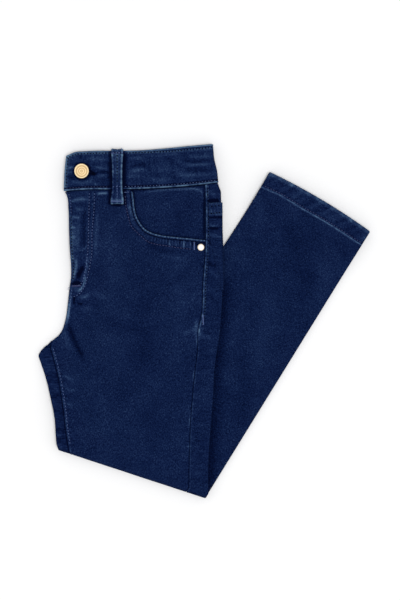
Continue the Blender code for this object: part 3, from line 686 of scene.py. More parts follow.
def rolled_edge(rows):
    """The left front's first columns, folded over the stack's edge or lying flat."""
    x, y = plan_at(rows, np.zeros((len(rows.turn), 1)))
    drop = radius_at(rows, x, y, LEFT_FRONT) - radius_at(rows, x, y, RIGHT_BACK)
    drop = drop - HALF_WALL - CLEARANCE
    start, end = FLY_OPENS_FLAT
    folded = np.where(rows.turn == 0, 1 - smooth((rows.share - start) / (end - start)), 0.0)
    angle = np.radians(np.linspace(0, 90, 7))
    count = len(angle) + 3
    down = mix(drop, ROLL_RADIUS, np.array((0.0, 0.35, 0.7)))
    arc = np.broadcast_to(ROLL_RADIUS * (1 - np.sin(angle)), (len(drop), len(angle)))
    over = np.r_[np.full(3, ROLL_INSET), ROLL_INSET + ROLL_RADIUS * (1 - np.cos(angle))]
    flat = np.linspace(0, ROLL_INSET + ROLL_RADIUS, count)
    offset = mix(flat, over, folded[:, None])
    return offset, np.concatenate((down, arc), 1) * folded[:, None]


# Where the thigh's side seam is worn light: the height on the leg, and half the length.
SEAM_SHINE = ((-22.0, 6.0), (-61.0, 6.0), (-112.0, 9.0), (-141.0, 3.5))


def front_relief(x, y, from_left, from_right):
    """Height, and wear with painted shade, of the left front: its creases, seams, puckers and sewing
    lines.
    """
    height, wear_and_shade = lay_creases(x, y, FRONT_CREASES)
    height += 0.16 * lumps(x, y, 5, 34.0)
    on_fly = smooth((y + 14) / 12)
    to_scoop, run, _ = nearest(x, y, scoop_line()[::4])
    height += 0.5 * bump(to_scoop - 0.9, 0.8) - 0.3 * bump(to_scoop, 0.4)
    height -= 0.35 * bump(to_scoop - 2.4, 0.55)
    dotted = 1 - 0.5 * smooth((x + 88) / 12) * (1 + np.cos(2 * math.pi * run / STITCH_PITCH)) / 2
    wear_and_shade += (0.7 + 0.2 * uneven(run, 2.0)) * dotted * bump(to_scoop - 0.4, 0.8)
    # The pocket mouth's stitch grooves are darkened as painted shade; the light edges and ridges are
    # wear.
    wear_and_shade -= 0.4 * bump(to_scoop - 2.4, 0.8)
    to_outer, run, _ = nearest(x, y, SCOOP_OUTER_STITCH)
    height -= 0.3 * bump(to_outer, 0.7)
    wear_and_shade -= 0.42 * bump(to_outer, 0.75)
    between = bump(to_scoop - 5.2, 3.2) * smooth(to_outer / 2)
    height += 0.22 * uneven(run, 3.0, 4.4) * between
    wear_and_shade += (0.12 * uneven(run, 3.0, 4.4) + 0.02 + 0.08 * smooth((y - 92) / 24)) * between
    bars = np.cos(2 * math.pi * run / STITCH_PITCH) * smooth((x + 70) / 16)
    wear_and_shade += 0.3 * bars * bump(to_scoop - 5.4, 2.2)
    wear_and_shade += 0.02 * smooth((y - 20) / 24) * smooth((-124.0 - x) / 8)
    for path, seed in ((FLY_OUTER_STITCH, 4.0), (FLY_INNER_STITCH, 5.0)):
        distance, run, _ = nearest(x, y, path)
        # The fly's stitch grooves are darkened: painted shade.
        height -= 0.3 * bump(distance, 0.7)
        wear_and_shade -= 0.26 * bump(distance, 0.75)
        beside, _, _ = nearest(x + 1.5, y, path)
        tone_shift = 0.13 + 0.12 * uneven(run, seed, 6.0)
        height += 0.22 * bump(beside, 0.8)
        wear_and_shade += tone_shift * bump(beside, 0.8)
    # Painted shadow: the left front is darkened beside and below the belt loop's lower end.
    beside_loop = np.maximum(abs(x - BELT_LOOP_X) - LOOP_WIDTH / 2, 0.0)
    wear_and_shade -= 0.8 * bump(beside_loop, 2.4) * smooth((y - 130.5) / 2)
    pucker = uneven(y, 1.3, 6.2)
    height += on_fly * (0.3 * bump(from_left - 1.0, 1.0) - 0.3 * bump(from_left - 2.7, 0.7))
    wear_and_shade += on_fly * ((0.16 + 0.1 * pucker) * bump(from_left - 1.0, 1.1))
    wear_and_shade += on_fly * mix(-0.2, 0.2, smooth((122.0 - y) / 6)) * bump(from_left - 2.8, 0.7)
    height += on_fly * 0.18 * pucker * bump(from_left - 5.0, 3.0)
    wear_and_shade += on_fly * 0.07 * pucker * bump(from_left - 5.0, 3.0)
    inseam = 1 - smooth((y + 30) / 10)
    pucker = uneven(y, 2.1, 5.0)
    height += inseam * (0.35 * bump(from_left - 1.1, 0.9) - 0.4 * bump(from_left, 0.6))
    height += inseam * (0.2 * pucker * bump(from_left - 3.6, 1.8) - 0.3 * bump(from_left - 2.5, 0.6))
    wear_and_shade += inseam * ((0.16 + 0.16 * pucker) * bump(from_left - 1.4, 1.0))
    wear_and_shade += inseam * (0.13 * pucker * bump(from_left - 5.0, 3.4) - 0.3 * bump(from_left, 0.7))
    # The side seam's groove is darkened: painted shade.
    height -= 0.55 * bump(from_right, 1.0)
    wear_and_shade -= 0.42 * bump(from_right, 0.9)
    height += 0.16 * uneven(y, 3.3, 7.0) * bump(from_right - 4.0, 3.0)
    wear_and_shade += 0.05 * uneven(y, 3.3, 7.0) * bump(from_right - 3.0, 2.6)
    wear_and_shade += 0.2 * bump(y + 13.0, 7.0) * bump(from_right - 2.0, 3.0)
    for middle, half in SEAM_SHINE:
        wear_and_shade += 0.42 * bump(y - middle, half) * bump(from_right - 1.3, 0.8)
    return height, wear_and_shade


def leg_row_sets(lower_share):
    return fold_rows(), lower_rows(lower_share), hem_rows()


def build_left_front(finish):
    reach = np.r_[0, 0.005, 0.01, 0.016, 0.023, 0.031, 0.04, 0.05, 0.062, 0.076, 0.092,
                  0.11:1.0:0.024]
    share = np.r_[reach * SCOOP_BLEND_END, np.linspace(SCOOP_BLEND_END, 1.0, 112)]
    rows = join(upper_rows(share), *leg_row_sets(np.linspace(0.03, 0.97, 32)))
    offset, middle = front_columns()
    edge_offset, below = rolled_edge(rows)
    count = edge_offset.shape[1]
    offset = np.r_[np.zeros(count), offset]
    middle = np.r_[np.zeros(count), middle]
    gap = SEAM_GAP / 2
    start, end = inseam_across(rows) + gap, seam_across(rows) - gap
    fixed = LEFT_MARGIN + RIGHT_MARGIN
    across = start[:, None] + offset + middle * (end - start - fixed)[:, None]
    across[:, :count] += edge_offset
    x, y = plan_at(rows, across)

    line = front_top_line()
    run = lengths_along(line)
    at = offset + middle * (run[-1] - fixed)
    top_x, top_y = np.interp(at, run, line[:, 0]), np.interp(at, run, line[:, 1])
    low = upper_rows(np.array((SCOOP_BLEND_END,)))
    low_start, low_end = inseam_across(low)[0] + gap, seam_across(low)[0] - gap
    low_across = low_start + offset + middle * (low_end - low_start - fixed)
    low_x, low_y = plan_at(low, low_across[None, :])

    def share_at(x, y):
        left, right = front_edge(y) + gap, side_seam(y) - gap
        return (x - left) / (right - left)

    blend = np.minimum(rows.share / SCOOP_BLEND_END, 1.0)[:, None]
    upper = (rows.turn == 0)[:, None]
    near_top = upper & (blend < 1)
    blend_y = mix(top_y, low_y, blend)
    blend_share = mix(share_at(top_x, top_y), share_at(low_x, low_y), blend)
    blend_x = mix(front_edge(blend_y) + gap, side_seam(blend_y) - gap, blend_share)
    blend_x[:, :count] += edge_offset
    x, y = np.where(near_top, blend_x, x), np.where(near_top, blend_y, y)

    from_left = np.where(upper, x - front_edge(y) - gap, across - start[:, None])
    from_right = np.where(upper, side_seam(y) - gap - x, end[:, None] - across)
    height, wear_and_shade = front_relief(x, y, from_left, from_right)
    facing_up = (1 + np.cos(rows.turn))[:, None] / 2
    on_edge = smooth(from_left / 2.0) * 0.8 + 0.2
    radius = radius_at(rows, x, y, LEFT_FRONT) - rows.inset[:, None]
    radius[:, :count] -= below
    radius += height * facing_up * on_edge
    last = np.flatnonzero(rows.turn == 0)[-1]
    u = np.where(upper, x, x[last] + across - across[last])
    v = np.where(upper, y, y[last] + (rows.run - rows.run[last])[:, None])
    grid = place(rows, x, y, radius)
    return shell("left_front_cloth", grid, wear_and_shade * facing_up, np.stack((u, v), -1), finish)


def cloth_map(grid, rows, y):
    """Where each point of a grid lies on the flat cloth, in millimetres."""
    middle = grid[len(grid) // 3]
    u = lengths_along(middle)
    upper = np.flatnonzero(rows.turn == 0)
    if len(upper):
        last = upper[-1]
        v = np.where((rows.turn == 0)[:, None], y, y[last] + (rows.run - rows.run[last])[:, None])
    else:
        v = np.broadcast_to(rows.run[:, None], y.shape)
    return np.stack((np.broadcast_to(u, v.shape), v), -1)


def stack_columns(*parts):
    """Joins column groups of (across or x, y, radius) into one grid."""
    return [np.concatenate(column, 1) for column in zip(*parts)]


FAR_AWAY = 99.0


def build_left_back(finish):
    share = np.linspace(0.0, 1.0, 176)
    rows = join(upper_rows(share), *leg_row_sets(np.linspace(0.03, 0.97, 40)))
    width = widths(rows)[:, None]
    gap = SEAM_GAP / 2
    seam = seam_across(rows)[:, None] + gap
    inset = rows.inset[:, None]

    edge_across, edge_radius = round_edge(rows, 1, LEFT_FRONT, LEFT_BACK)
    near = np.array((0, 0.15, 0.4, 0.7, 1.0, 1.35, 1.7, 2.1, 2.5, 2.9, 3.4, 4.0))
    far = np.linspace(0, 1, 9)[1:-1]
    rest = mix(seam + near[-1], edge_across[:, :1], far)
    strip = np.concatenate((seam + near, rest), 1)
    count = strip.shape[1]
    right_strip = on_layer(rows, strip, LEFT_FRONT, -inset)
    right_edge = (*plan_at(rows, edge_across), edge_radius)

    shares = np.r_[0.955, np.arange(0.9, 0.05, -0.06)]
    under = on_layer(rows, shares * width, LEFT_BACK, inset)

    left_across, left_radius = left_edge(rows, LEFT_FRONT, LEFT_BACK)
    inseam = inseam_across(rows)[:, None] - gap
    steps = np.array((0.12, 0.28, 0.45, 0.62, 0.76, 0.86, 0.93, 0.97, 1.0))
    left_strip = mix(left_across[:, -1:], inseam, steps)
    wrapped = stack_columns(
        (*plan_at(rows, left_across), left_radius),
        on_layer(rows, left_strip, LEFT_FRONT, -inset),
    )
    first, last = SEAT_EDGE_SHARES
    reach = smooth((rows.share - first) / (last - first))
    ends = mix(*SEAT_EDGE, reach)[:, None]
    flat = mix(SEAT_EDGE_START, ends, np.linspace(0, 1, wrapped[0].shape[1]))
    opened = on_layer(rows, flat, LEFT_BACK, 0.0)
    wrap = np.clip((rows.share - CROTCH_OPEN) / (CROTCH_WRAPPED - CROTCH_OPEN), 0, 1)
    wrap = np.where(rows.turn > 0, 1.0, wrap)[:, None]
    left = [mix(o, w, wrap) for o, w in zip(opened, wrapped)]

    x, y, radius = stack_columns(right_strip, right_edge, under, left)
    strips = np.zeros(x.shape)
    strips[:, :count] = 1
    strips[:, -len(steps):] = wrap
    height, wear_and_shade = lay_creases(x, y, STRIP_CREASES)
    height += 0.12 * lumps(x, y, 8, 22.0)
    from_seam = np.full(x.shape, FAR_AWAY)
    from_seam[:, :count] = strip - seam
    tone_shift = 0.36 + 0.28 * uneven(y, 1.9, 9.0)
    sewn = smooth((y + 4) / 4)
    height += 0.5 * bump(from_seam - 0.9, 0.8)
    height -= sewn * 0.4 * bump(from_seam - 2.6, 0.55)
    wear_and_shade += mix(0.4, 1.0, smooth((y + 24) / 16)) * tone_shift * bump(from_seam - 0.8, 0.65)
    wear_and_shade += sewn * (0.32 * bump(from_seam - 2.8, 0.9) - 0.2 * bump(from_seam - 4.4, 0.8))
    wear_and_shade += sewn * 0.07 * uneven(y, 4.1, 5.0) * bump(from_seam - 4.6, 2.2)
    wear_and_shade += 0.28 * bump(y + 13.0, 5.0) * bump(from_seam - 2.0, 3.0)
    to_inseam = np.full(x.shape, FAR_AWAY)
    to_inseam[:, -len(steps):] = inseam - left_strip
    # The inseam's groove is darkened: painted shade.
    height -= 0.4 * bump(to_inseam, 0.9)
    wear_and_shade -= 0.36 * bump(to_inseam, 0.9)
    facing_up = (1 + np.cos(rows.turn))[:, None] / 2
    radius = radius + height * facing_up * strips
    grid = place(rows, x, y, radius)
    wear_and_shade = wear_and_shade * facing_up * strips
    return shell("left_back_cloth", grid, wear_and_shade, cloth_map(grid, rows, y), finish)


# The row of stitches lies a little beyond the hem's light ridge, towards its edge.
HEM_STITCH_AWAY = np.array((1.0, 1.7))
HEM_STITCH = (
    (62.9, 151.0), (85.5, 140.7), (111.1, 125.2), (136.9, 110.4), (162.6, 93.7), (177.6, 84.2),
)


def build_right_front(finish):
    """The lower leg's top layer, with both edges rolled under, and its hem."""
    share = np.r_[0.0, 0.004, 0.01, 0.02, 0.032, 0.045:0.86:0.0052, 0.86:0.998:0.003]
    rows = join(lower_rows(share), hem_rows())
    width = widths(rows)[:, None]
    inset = rows.inset[:, None]
    left_across, left_radius = left_edge(rows, RIGHT_FRONT, RIGHT_BACK, 8)
    right_across, right_radius = round_edge(rows, 1, RIGHT_FRONT, RIGHT_BACK, 8)
    middle = mix(left_across[:, -1:], right_across[:, :1], np.linspace(0, 1, 84)[1:-1])
    x, y, radius = stack_columns(
        on_layer(rows, LIP + 0 * width, RIGHT_BACK, -inset),
        (*plan_at(rows, left_across), left_radius),
        on_layer(rows, middle, RIGHT_FRONT, inset),
        (*plan_at(rows, right_across), right_radius),
        on_layer(rows, width - LIP, RIGHT_BACK, -inset),
    )
    height, wear_and_shade = lay_creases(x, y, LEG_CREASES)
    height += 0.14 * lumps(x, y, 11, 40.0)
    to_hem = LOWER_RIGHT_LENGTH * (1 - rows.share)[:, None]
    distance, run, _ = nearest(x, y, HEM_STITCH)
    beyond = np.where(to_hem < HEM_DEPTH, 1.0, -1.0)
    height += 0.35 * smooth(0.5 + beyond * distance / 3)
    height -= 0.4 * bump(beyond * distance - 1.9, 0.7)
    height += 0.35 * bump(distance, 0.9)
    # The groove beside the hem's stitch row is darkened: painted shade.
    wear_and_shade -= 0.2 * bump(beyond * distance - 1.9, 0.8)
    wear_and_shade += (0.54 + 0.14 * uneven(run, 1.0, 9.0)) * bump(distance, 0.8)
    # Painted shadow: the lower leg is darkened next to the upper block's right edge, where the
    # block's shade falls.
    block_shadow_mask = np.where(y < 60.0, bump(np.maximum(x - right_outline(y), 0.0), 9.0), 0.0)
    wear_and_shade -= 0.22 * block_shadow_mask * smooth((60.0 - y) / 30)
    wear_and_shade += (0.4 + 0.2 * uneven(run, 6.0, 11.0)) * bump(to_hem - 0.6, 1.6)
    on_hem = smooth((HEM_DEPTH - 2 - to_hem) / 3) * smooth(to_hem / 2)
    pulled = uneven(run + to_hem * 0.7, 7.0, 13.0)
    height += 0.2 * pulled * on_hem
    wear_and_shade += (0.12 * pulled + 0.03) * on_hem
    margin = 1 + left_across.shape[1]
    column = np.arange(middle.shape[1])
    flat = np.zeros(x.shape[1])
    flat[margin:-margin] = smooth(np.minimum(column, column[::-1]) / 4)
    radius = radius - height * flat * (inset < 0.01)
    grid = place(rows, x, y, radius)
    return shell("right_front_cloth", grid, wear_and_shade, cloth_map(grid, rows, y), finish)


def build_hidden_layers(finish):
    """The right leg's hidden layers: one solid whose edges are grooved between its folds."""
    share = np.linspace(0, 1, 120)
    lower = lower_rows(np.r_[0.02, 0.045:1.0:0.02, 1.0])
    rows = join(upper_rows(share), fold_rows(), lower)
    under = rows.turn == math.pi
    turned = (rows.turn / math.pi)[:, None]
    thinned = np.where(under, mix(0.35, 1.0, smooth(rows.share / 0.02)), 0.0)[:, None]
    inset = mix(HALF_WALL, LIP + 1.5, turned)
    width = widths(rows)[:, None]

    def at(from_left, part):
        x, y = plan_at(rows, from_left)
        inner = mix(
            radius_at(rows, x, y, RIGHT_FRONT), radius_at(rows, x, y, RIGHT_BACK), thinned
        )
        inner = inner - HALF_WALL - PITCH * rows.hem[:, None]
        outer = radius_at(rows, x, y, RIGHT_BACK) + HALF_WALL
        return x, y, mix(inner, outer, part)

    columns = np.array(COLUMN_SHARES) * width
    flat = np.concatenate((inset + 2.2, columns, width - inset - 2.2), 1)
    ring = [at(inset + edge, part) for edge, part in LAYERED_EDGE]
    ring += [at(flat, 0.0)]
    ring += [at(width - inset - edge, part) for edge, part in LAYERED_EDGE[::-1]]
    ring += [at(width - inset - edge, 1 - part) for edge, part in LAYERED_EDGE[1:]]
    ring += [at(flat[:, ::-1], 1.0)]
    ring += [at(inset + edge, 1 - part) for edge, part in LAYERED_EDGE[:0:-1]]
    x, y, radius = stack_columns(*ring)
    y[0] += WAIST_GAP + 0.6
    grid = place(rows, x, y, radius)
    # The hidden solid is darker all over: painted shade for the gaps between the layers, where it
    # shows.
    return loft("hidden_layers_cloth", grid, 0 * x - 0.1, cloth_map(grid, rows, y), finish)


def around(front, rear=1.0):
    """Values across a band's front, and back along its rear, there times a number."""
    return np.r_[front, front[::-1][1:-1] * rear]


def rounding(from_edge, radius, least):
    """The share of a wall's full thickness near its rounded edge."""
    return np.sqrt(np.clip(1 - (1 - np.minimum(from_edge / radius, 1)) ** 2, least, 1))


def bend(share_across, offset, height, radius, start, end, steps=10):
    """Part of the waistband's path round a fold."""
    angle = np.radians(np.linspace(start, end, steps + 1))
    return [
        (share_across, offset + radius * math.cos(a), height + radius * math.sin(a))
        for a in angle
    ]


def band_path():
    """The waistband seen from its edge: rows of (share across, offset, height)."""
    levels = [BAND_WALL / 2 + BAND_PITCH * number for number in range(5)]
    small, large = BAND_PITCH / 2, BAND_PITCH * 1.5
    right_in = -(BAND_WALL / 2 + small)
    left_in = BAND_WALL / 2 + large + 0.5
    middle = (levels[1] + levels[2]) / 2
    path = [(0.0, offset, levels[4]) for offset in (0.2, 0.35, 0.6, 0.9, 1.3, OVERLAP)]
    for step in range(1, 9):
        height = mix(levels[4], levels[3], float(smooth(step / 8)))
        path.append((0.0, OVERLAP + OVERLAP_SLOPE * step / 8, height))
    path += [(share, 0.0, levels[3]) for share in BAND_SHARES]
    path += bend(1.0, right_in, (levels[3] + levels[2]) / 2, small, 90, -90)
    path += [(share, 0.0, levels[2]) for share in BAND_SHARES[::-1]]
    path += bend(0.0, left_in, middle, small, 90, 270)
    path += [(share, 0.0, levels[1]) for share in BAND_SHARES]
    path += bend(1.0, right_in, (levels[1] + levels[0]) / 2, small, 90, -90)
    path += [(share, 0.0, levels[0]) for share in BAND_SHARES[::-1]]
    path += bend(0.0, left_in, middle, large, 270, 90, 16)
    path += [(0.0, offset, levels[3]) for offset in (15.0, 25.0, UNDERLAP)]
    return np.array(path)


def refine(path, spacing):
    """A path with points put in between its own, so that no step is long."""
    span = np.array((150.0, 1.0, 1.0))
    points = [path[0]]
    for first, second in zip(path, path[1:]):
        steps = max(int(np.linalg.norm((second - first) * span) / spacing), 1)
        points += [mix(first, second, step / steps) for step in range(1, steps + 1)]
    return np.array(points)


BAND_LOW_ROW = 2.9
TOP_LAYER_LENGTH = 190.0
BAND_LOWEST = 0.02


def band_row(x):
    """How far the waistband's upper row of stitches is below its top edge."""
    return mix(2.8, 4.1, smooth((x + 70) / 40))


def build_waistband(finish):
    """The waistband, folded to and fro with the garment, with rounded edges."""
    path = refine(band_path(), 2.2)
    half = BAND_WALL / 2
    down = np.r_[0.0, 0.35, 0.75, 1.2, 1.6, 2.0, 2.4, 2.8, 3.2, 3.7, 4.6, 6.0:37.0:1.7]
    down = np.r_[down, BAND_HEIGHT - down[:11][::-1]]
    edge_in = np.minimum(down, BAND_HEIGHT - down)
    ring_down = around(down)
    ring_edge = around(edge_in)
    ring_out = around(half * rounding(edge_in, half, 0.02), -1.0)
    share = ring_down / BAND_HEIGHT

    across, offset, level = path[:, :1], path[:, 1:2], path[:, 2:]
    x = mix(band_left(share), band_right(share), across) + offset
    centre_x = mix(band_left(0.5), band_right(0.5), across[:, 0]) + offset[:, 0]
    centre = np.stack((centre_x, level[:, 0]), 1)
    tangent = ways_along(centre)
    normal_x, normal_z = -tangent[:, 1:], tangent[:, :1]
    from_end = lengths_along(centre)[:, None]
    end_round = rounding(from_end, half, 0.05)
    y = mix(band_top(x), band_low(x), share)

    on_top = (from_end < TOP_LAYER_LENGTH) & (normal_z > 0.5)
    outside = (ring_out > 0) * 1.0
    pucker = uneven(from_end, 1.4, 5.2)
    height = 0.18 * bump(ring_edge - 1.2, 0.9) * (1 + 0.4 * pucker)
    height -= 0.35 * bump(ring_edge - 2.6, 0.55)
    height += 0.14 * pucker * bump(ring_edge - 5.0, 2.2)
    creased, wear_and_shade = lay_creases(x, y, BAND_CREASES)
    creased += 0.14 * lumps(x, y, 21, 17.0)
    from_low = BAND_HEIGHT - ring_down
    toward_right = smooth((x + 60) / 70)
    wear_and_shade += (0.56 + 0.2 * pucker) * bump(from_low - 0.9, 0.9)
    # The low stitch row's groove is darkened: painted shade.
    wear_and_shade -= 0.85 * bump(from_low - BAND_LOW_ROW, 0.8)
    wear_and_shade += mix(0.6, 0.9, toward_right) * bump(ring_down - 1.0, 0.7)
    wear_and_shade += 0.46 * bump(ring_down - band_row(x), 0.8)
    wear_and_shade += 0.14 * toward_right * bump(ring_down - band_row(x) - 1.9, 0.6)
    # The light rim at the band's left end is partly its worn fold and partly painted sheen.
    wear_and_shade += 0.7 * bump(from_end - 0.8, 0.8) + 0.42 * bump(from_end - 2.8, 0.7)
    wear_and_shade += 0.07 * pucker + 0.05 * lumps(x, y, 22, 15.0)
    # Painted shadows: the band is darkened beside the belt loop and in a ring round the button.
    beside_loop = abs(x - BELT_LOOP_X) - LOOP_WIDTH / 2
    wear_and_shade -= 0.5 * bump(np.maximum(beside_loop, 0.0), 3.0)
    to_button = np.hypot(x - BUTTON_PLACE[0] - 0.6, y - BUTTON_PLACE[1] + 0.4)
    wear_and_shade -= 0.5 * bump(np.maximum(to_button - BUTTON_RADIUS, 0.0), 1.8)
    height -= 0.3 * bump(from_end - 2.8, 0.7)
    out = ring_out * end_round + outside * (height + creased * on_top) * end_round
    above = level + normal_z * out + stack_base(x, y) - BASE_ON_FLOOR
    points = np.stack((x + normal_x * out, y + 0 * out, np.maximum(above, BAND_LOWEST)), -1)
    cloth = np.stack(np.broadcast_arrays(from_end, -ring_down + 0 * x), -1)
    return loft("waistband_cloth", points, wear_and_shade * outside, cloth, finish)


def loop_path():
    """The belt loop seen from its side: rows of (y, height), from its hooked top end."""
    x = BELT_LOOP_X
    top, low = float(band_top(x)), float(band_low(x))
    over_band = BAND_WALL + BAND_PITCH * 3 + CLEARANCE + LOOP_WALL / 2
    rows = upper_rows(np.array((0.0,)))
    panel = float(radius_at(rows, np.array([[x]]), np.array([[low]]), LEFT_FRONT)[0, 0])
    under = panel + HALF_WALL + CLEARANCE + LOOP_WALL / 2
    fold = LOOP_WALL / 2 + 0.15
    end = low - 15.0
    return (
        (top + 0.9, over_band - 3.0),
        (top + 0.9, over_band - 0.8),
        (top + 0.5, over_band + 0.15),
        (top - 0.7, over_band + 0.3),
        (mix(top, low, 0.35), over_band + 0.3),
        (mix(top, low, 0.7), over_band + 0.2),
        (low + 1.5, over_band),
        (low - 5.0, over_band + 0.2),
        (low - 10.0, under + 2 * fold),
        (end, under + 2 * fold),
        (end - 0.7 * fold, under + 1.7 * fold),
        (end - fold, under + fold),
        (end - 0.7 * fold, under + 0.3 * fold),
        (end, under),
        (end + 5.0, under),
    )


def build_belt_loop(finish):
    """The belt loop: a narrow band with rolled sides and a sewn middle."""
    path = spline(loop_path(), 0.7)
    half, wall = LOOP_WIDTH / 2, LOOP_WALL / 2
    side = np.array((-1, -0.98, -0.93, -0.84, -0.72, -0.6, -0.48, -0.34, -0.2, -0.12, -0.06))
    side = np.r_[side, 0.0, -side[::-1]] * half
    edge_in = half - abs(side)
    relief = 0.35 * bump(edge_in - 1.6, 1.2) - 0.35 * bump(side, 0.7)
    ring_side = around(side)
    ring_edge = around(edge_in)
    ring_out = around(wall * rounding(edge_in, wall, 0.03), -1.0)
    front = around(np.ones(len(side)), 0.0)
    tangent = ways_along(path)
    run = lengths_along(path)[:, None]
    ripple = uneven(run, 2.7, 6.0)
    out = ring_out + around(relief, 0.0) * (1 + 0.3 * ripple)
    wide = 0.81 + 0.15 * bump(run - 5.0, 13.0) + 0.24 * bump(run - 61.0, 9.0) + 0.014 * ripple
    x = BELT_LOOP_X + ring_side * wide
    y = path[:, :1] + tangent[:, 1:] * out
    z = path[:, 1:] - tangent[:, :1] * out
    points = np.stack((x, y, z), -1)
    wear_and_shade = (0.2 + 0.24 * ripple) * bump(ring_edge - 1.2, 1.1) + 0.2 * bump(ring_side, 0.9) + 0.04
    wear_and_shade += 0.06 * uneven(run, 4.4, 13.0) - 0.1 * bump(ring_edge - 3.4, 1.0)
    # Painted light: the right rim is lightened as a painted highlight; the line under the top fold
    # and the lower left part are darkened as painted shade.
    wear_and_shade += 0.22 * bump(ring_side - 5.9, 1.1) - 0.3 * bump(run - 6.6, 1.0)
    wear_and_shade -= 0.26 * bump(run - 46.0, 13.0) * smooth((5.0 - ring_side) / 3)
    near_bar = bump(run - 59.5, 1.0) + bump(run - 63.5, 1.2) + 0.6 * bump(run - 8.6, 0.9)
    wear_and_shade += 0.34 * near_bar
    cloth = np.stack(np.broadcast_arrays(ring_side + 0 * run, run + 0 * ring_side), -1)
    return loft("belt_loop_cloth", points, wear_and_shade * front, cloth, finish)


def build_pocket_facing(finish):
    right = float(side_seam(120.0)) - SEAM_GAP / 2 - 0.3
    across = np.linspace(0, 1, 70)
    down = np.linspace(0, 1, 56)[:, None]
    x = mix(FACING_LEFT, right, across) + 0 * down
    y = mix(band_low(x) - WAIST_GAP, FACING_LOW, down)
    rows = upper_rows(np.zeros(len(down)))
    height, wear_and_shade = lay_creases(x, y, FACING_CREASES)
    height += 0.12 * lumps(x, y, 31, 26.0)
    height = np.minimum(height, 0.3)
    radius = radius_at(rows, x, y, LEFT_FRONT) - PITCH + height
    grid = np.stack((x, y, radius), -1)
    to_scoop, _, _ = nearest(x, y, scoop_line()[::4])
    # Painted shade: the facing is darkened where it goes under the pocket mouth's edge and under the
    # waistband.
    wear_and_shade = wear_and_shade - 0.32 * bump(to_scoop, 2.2) - 0.2 * bump(band_low(x) - y - 1.2, 1.6)
    return shell("pocket_facing_cloth", grid, wear_and_shade, np.stack((x, y), -1), finish)


def build_back_pocket(finish):
    """The back pocket: the left back's own points, moved out, round its right edge."""
    share = np.linspace(POCKET_TOP_SHARE, POCKET_LOW_SHARE, 64)
    lift = WALL + CLEARANCE
    rows = upper_rows(share)
    rows.inset = np.full(len(share), -lift)
    edge_across, edge_radius = round_edge(rows, 1, LEFT_FRONT, LEFT_BACK)
    turned_away = smooth((share - POCKET_TURN_SHARE) / (POCKET_LOW_SHARE - POCKET_TURN_SHARE))
    start = mix(seam_across(rows) + POCKET_FROM_SEAM, edge_across[:, 0] - 1.0, turned_away)
    strip = mix(start[:, None], edge_across[:, :1], np.linspace(0, 1, 12)[:-1])
    under = np.array((0.955, 0.9, 0.86, 0.8)) * widths(rows)[:, None]
    x, y, radius = stack_columns(
        on_layer(rows, strip, LEFT_FRONT, lift),
        (*plan_at(rows, edge_across), edge_radius),
        on_layer(rows, under, LEFT_BACK, -lift),
    )
    height, wear_and_shade = lay_creases(x, y, POCKET_CREASES)
    from_top = y[:1] - y
    for at in (4.2, 12.2):
        height -= 0.25 * bump(from_top - at, 0.7)
        wear_and_shade += 0.16 * bump(from_top - at, 0.8)
    wear_and_shade += 0.5 * bump(from_top - 0.7, 1.1) + 0.46 * bump(from_top - 14.6, 0.9)
    wear_and_shade += (0.14 + 0.12 * uneven(x, 5.0, 4.0)) * bump(from_top - 8.3, 3.4)
    height += 0.3 * bump(from_top - 14.6, 1.0)
    # Painted shade just below the pocket's raised lower ridge.
    wear_and_shade -= 0.5 * bump(from_top - 16.6, 1.2)
    count = strip.shape[1]
    creased = count + POCKET_EDGE_COLUMNS
    radius[:, :creased] += height[:, :creased]
    radius[:, :count] -= POCKET_FLUSH * (1 - smooth((strip - start[:, None]) / 5.0))
    grid = place(rows, x, y, radius)
    return shell("back_pocket_cloth", grid, wear_and_shade, cloth_map(grid, rows, y), finish)


def node(tree, kind, **values):
    made = tree.nodes.new("ShaderNode" + kind)
    for name, value in values.items():
        setattr(made, name, value)
    return made


def link(tree, output, target):
    tree.links.new(output, target)


def math_node(tree, operation, *values):
    """A math node on sockets or plain numbers, which gives its output."""
    made = node(tree, "Math", operation=operation)
    for socket, value in zip(made.inputs, values):
        if isinstance(value, (int, float)):
            socket.default_value = value
        else:
            link(tree, value, socket)
    return made.outputs[0]


def cloth_coordinates(tree, scale, turn=0.0):
    """Places on the flat cloth, from its UV map in metres."""
    uv = node(tree, "UVMap", uv_map="cloth")
    mapping = node(tree, "Mapping")
    mapping.inputs["Scale"].default_value = (*scale, 1.0)
    mapping.inputs["Rotation"].default_value = (0.0, 0.0, turn)
    link(tree, uv.outputs[0], mapping.inputs["Vector"])
    return mapping.outputs[0]


def noise(tree, vector, scale, detail, roughness=0.5):
    made = node(tree, "TexNoise", noise_dimensions="3D")
    made.inputs["Scale"].default_value = scale
    made.inputs["Detail"].default_value = detail
    made.inputs["Roughness"].default_value = roughness
    link(tree, vector, made.inputs["Vector"])
    return made.outputs[0]


def new_material(name):
    """A material, its node tree and its shader's sockets."""
    made = bpy.data.materials.new(name)
    made.use_nodes = True
    return made, made.node_tree, made.node_tree.nodes["Principled BSDF"].inputs


def set_values(sockets, values):
    for name, value in values.items():
        sockets[name].default_value = value


def colour_by(tree, value, tones, sockets):
    """Colours the surface by a value, through tones of (position, colour)."""
    ramp = node(tree, "ValToRGB")
    stops = ramp.color_ramp.elements
    while len(stops) < len(tones):
        stops.new(0.5)
    for stop, (position, colour) in zip(stops, tones):
        stop.position = position
        stop.color = (*colour, 1.0)
    link(tree, value, ramp.inputs[0])
    link(tree, ramp.outputs[0], sockets["Base Color"])


def raise_by(tree, height, strength, distance, sockets):
    """Fine relief in the surface's shading."""
    raised = node(tree, "Bump")
    set_values(raised.inputs, {"Strength": strength, "Distance": distance})
    link(tree, height, raised.inputs["Height"])
    link(tree, raised.outputs[0], sockets["Normal"])


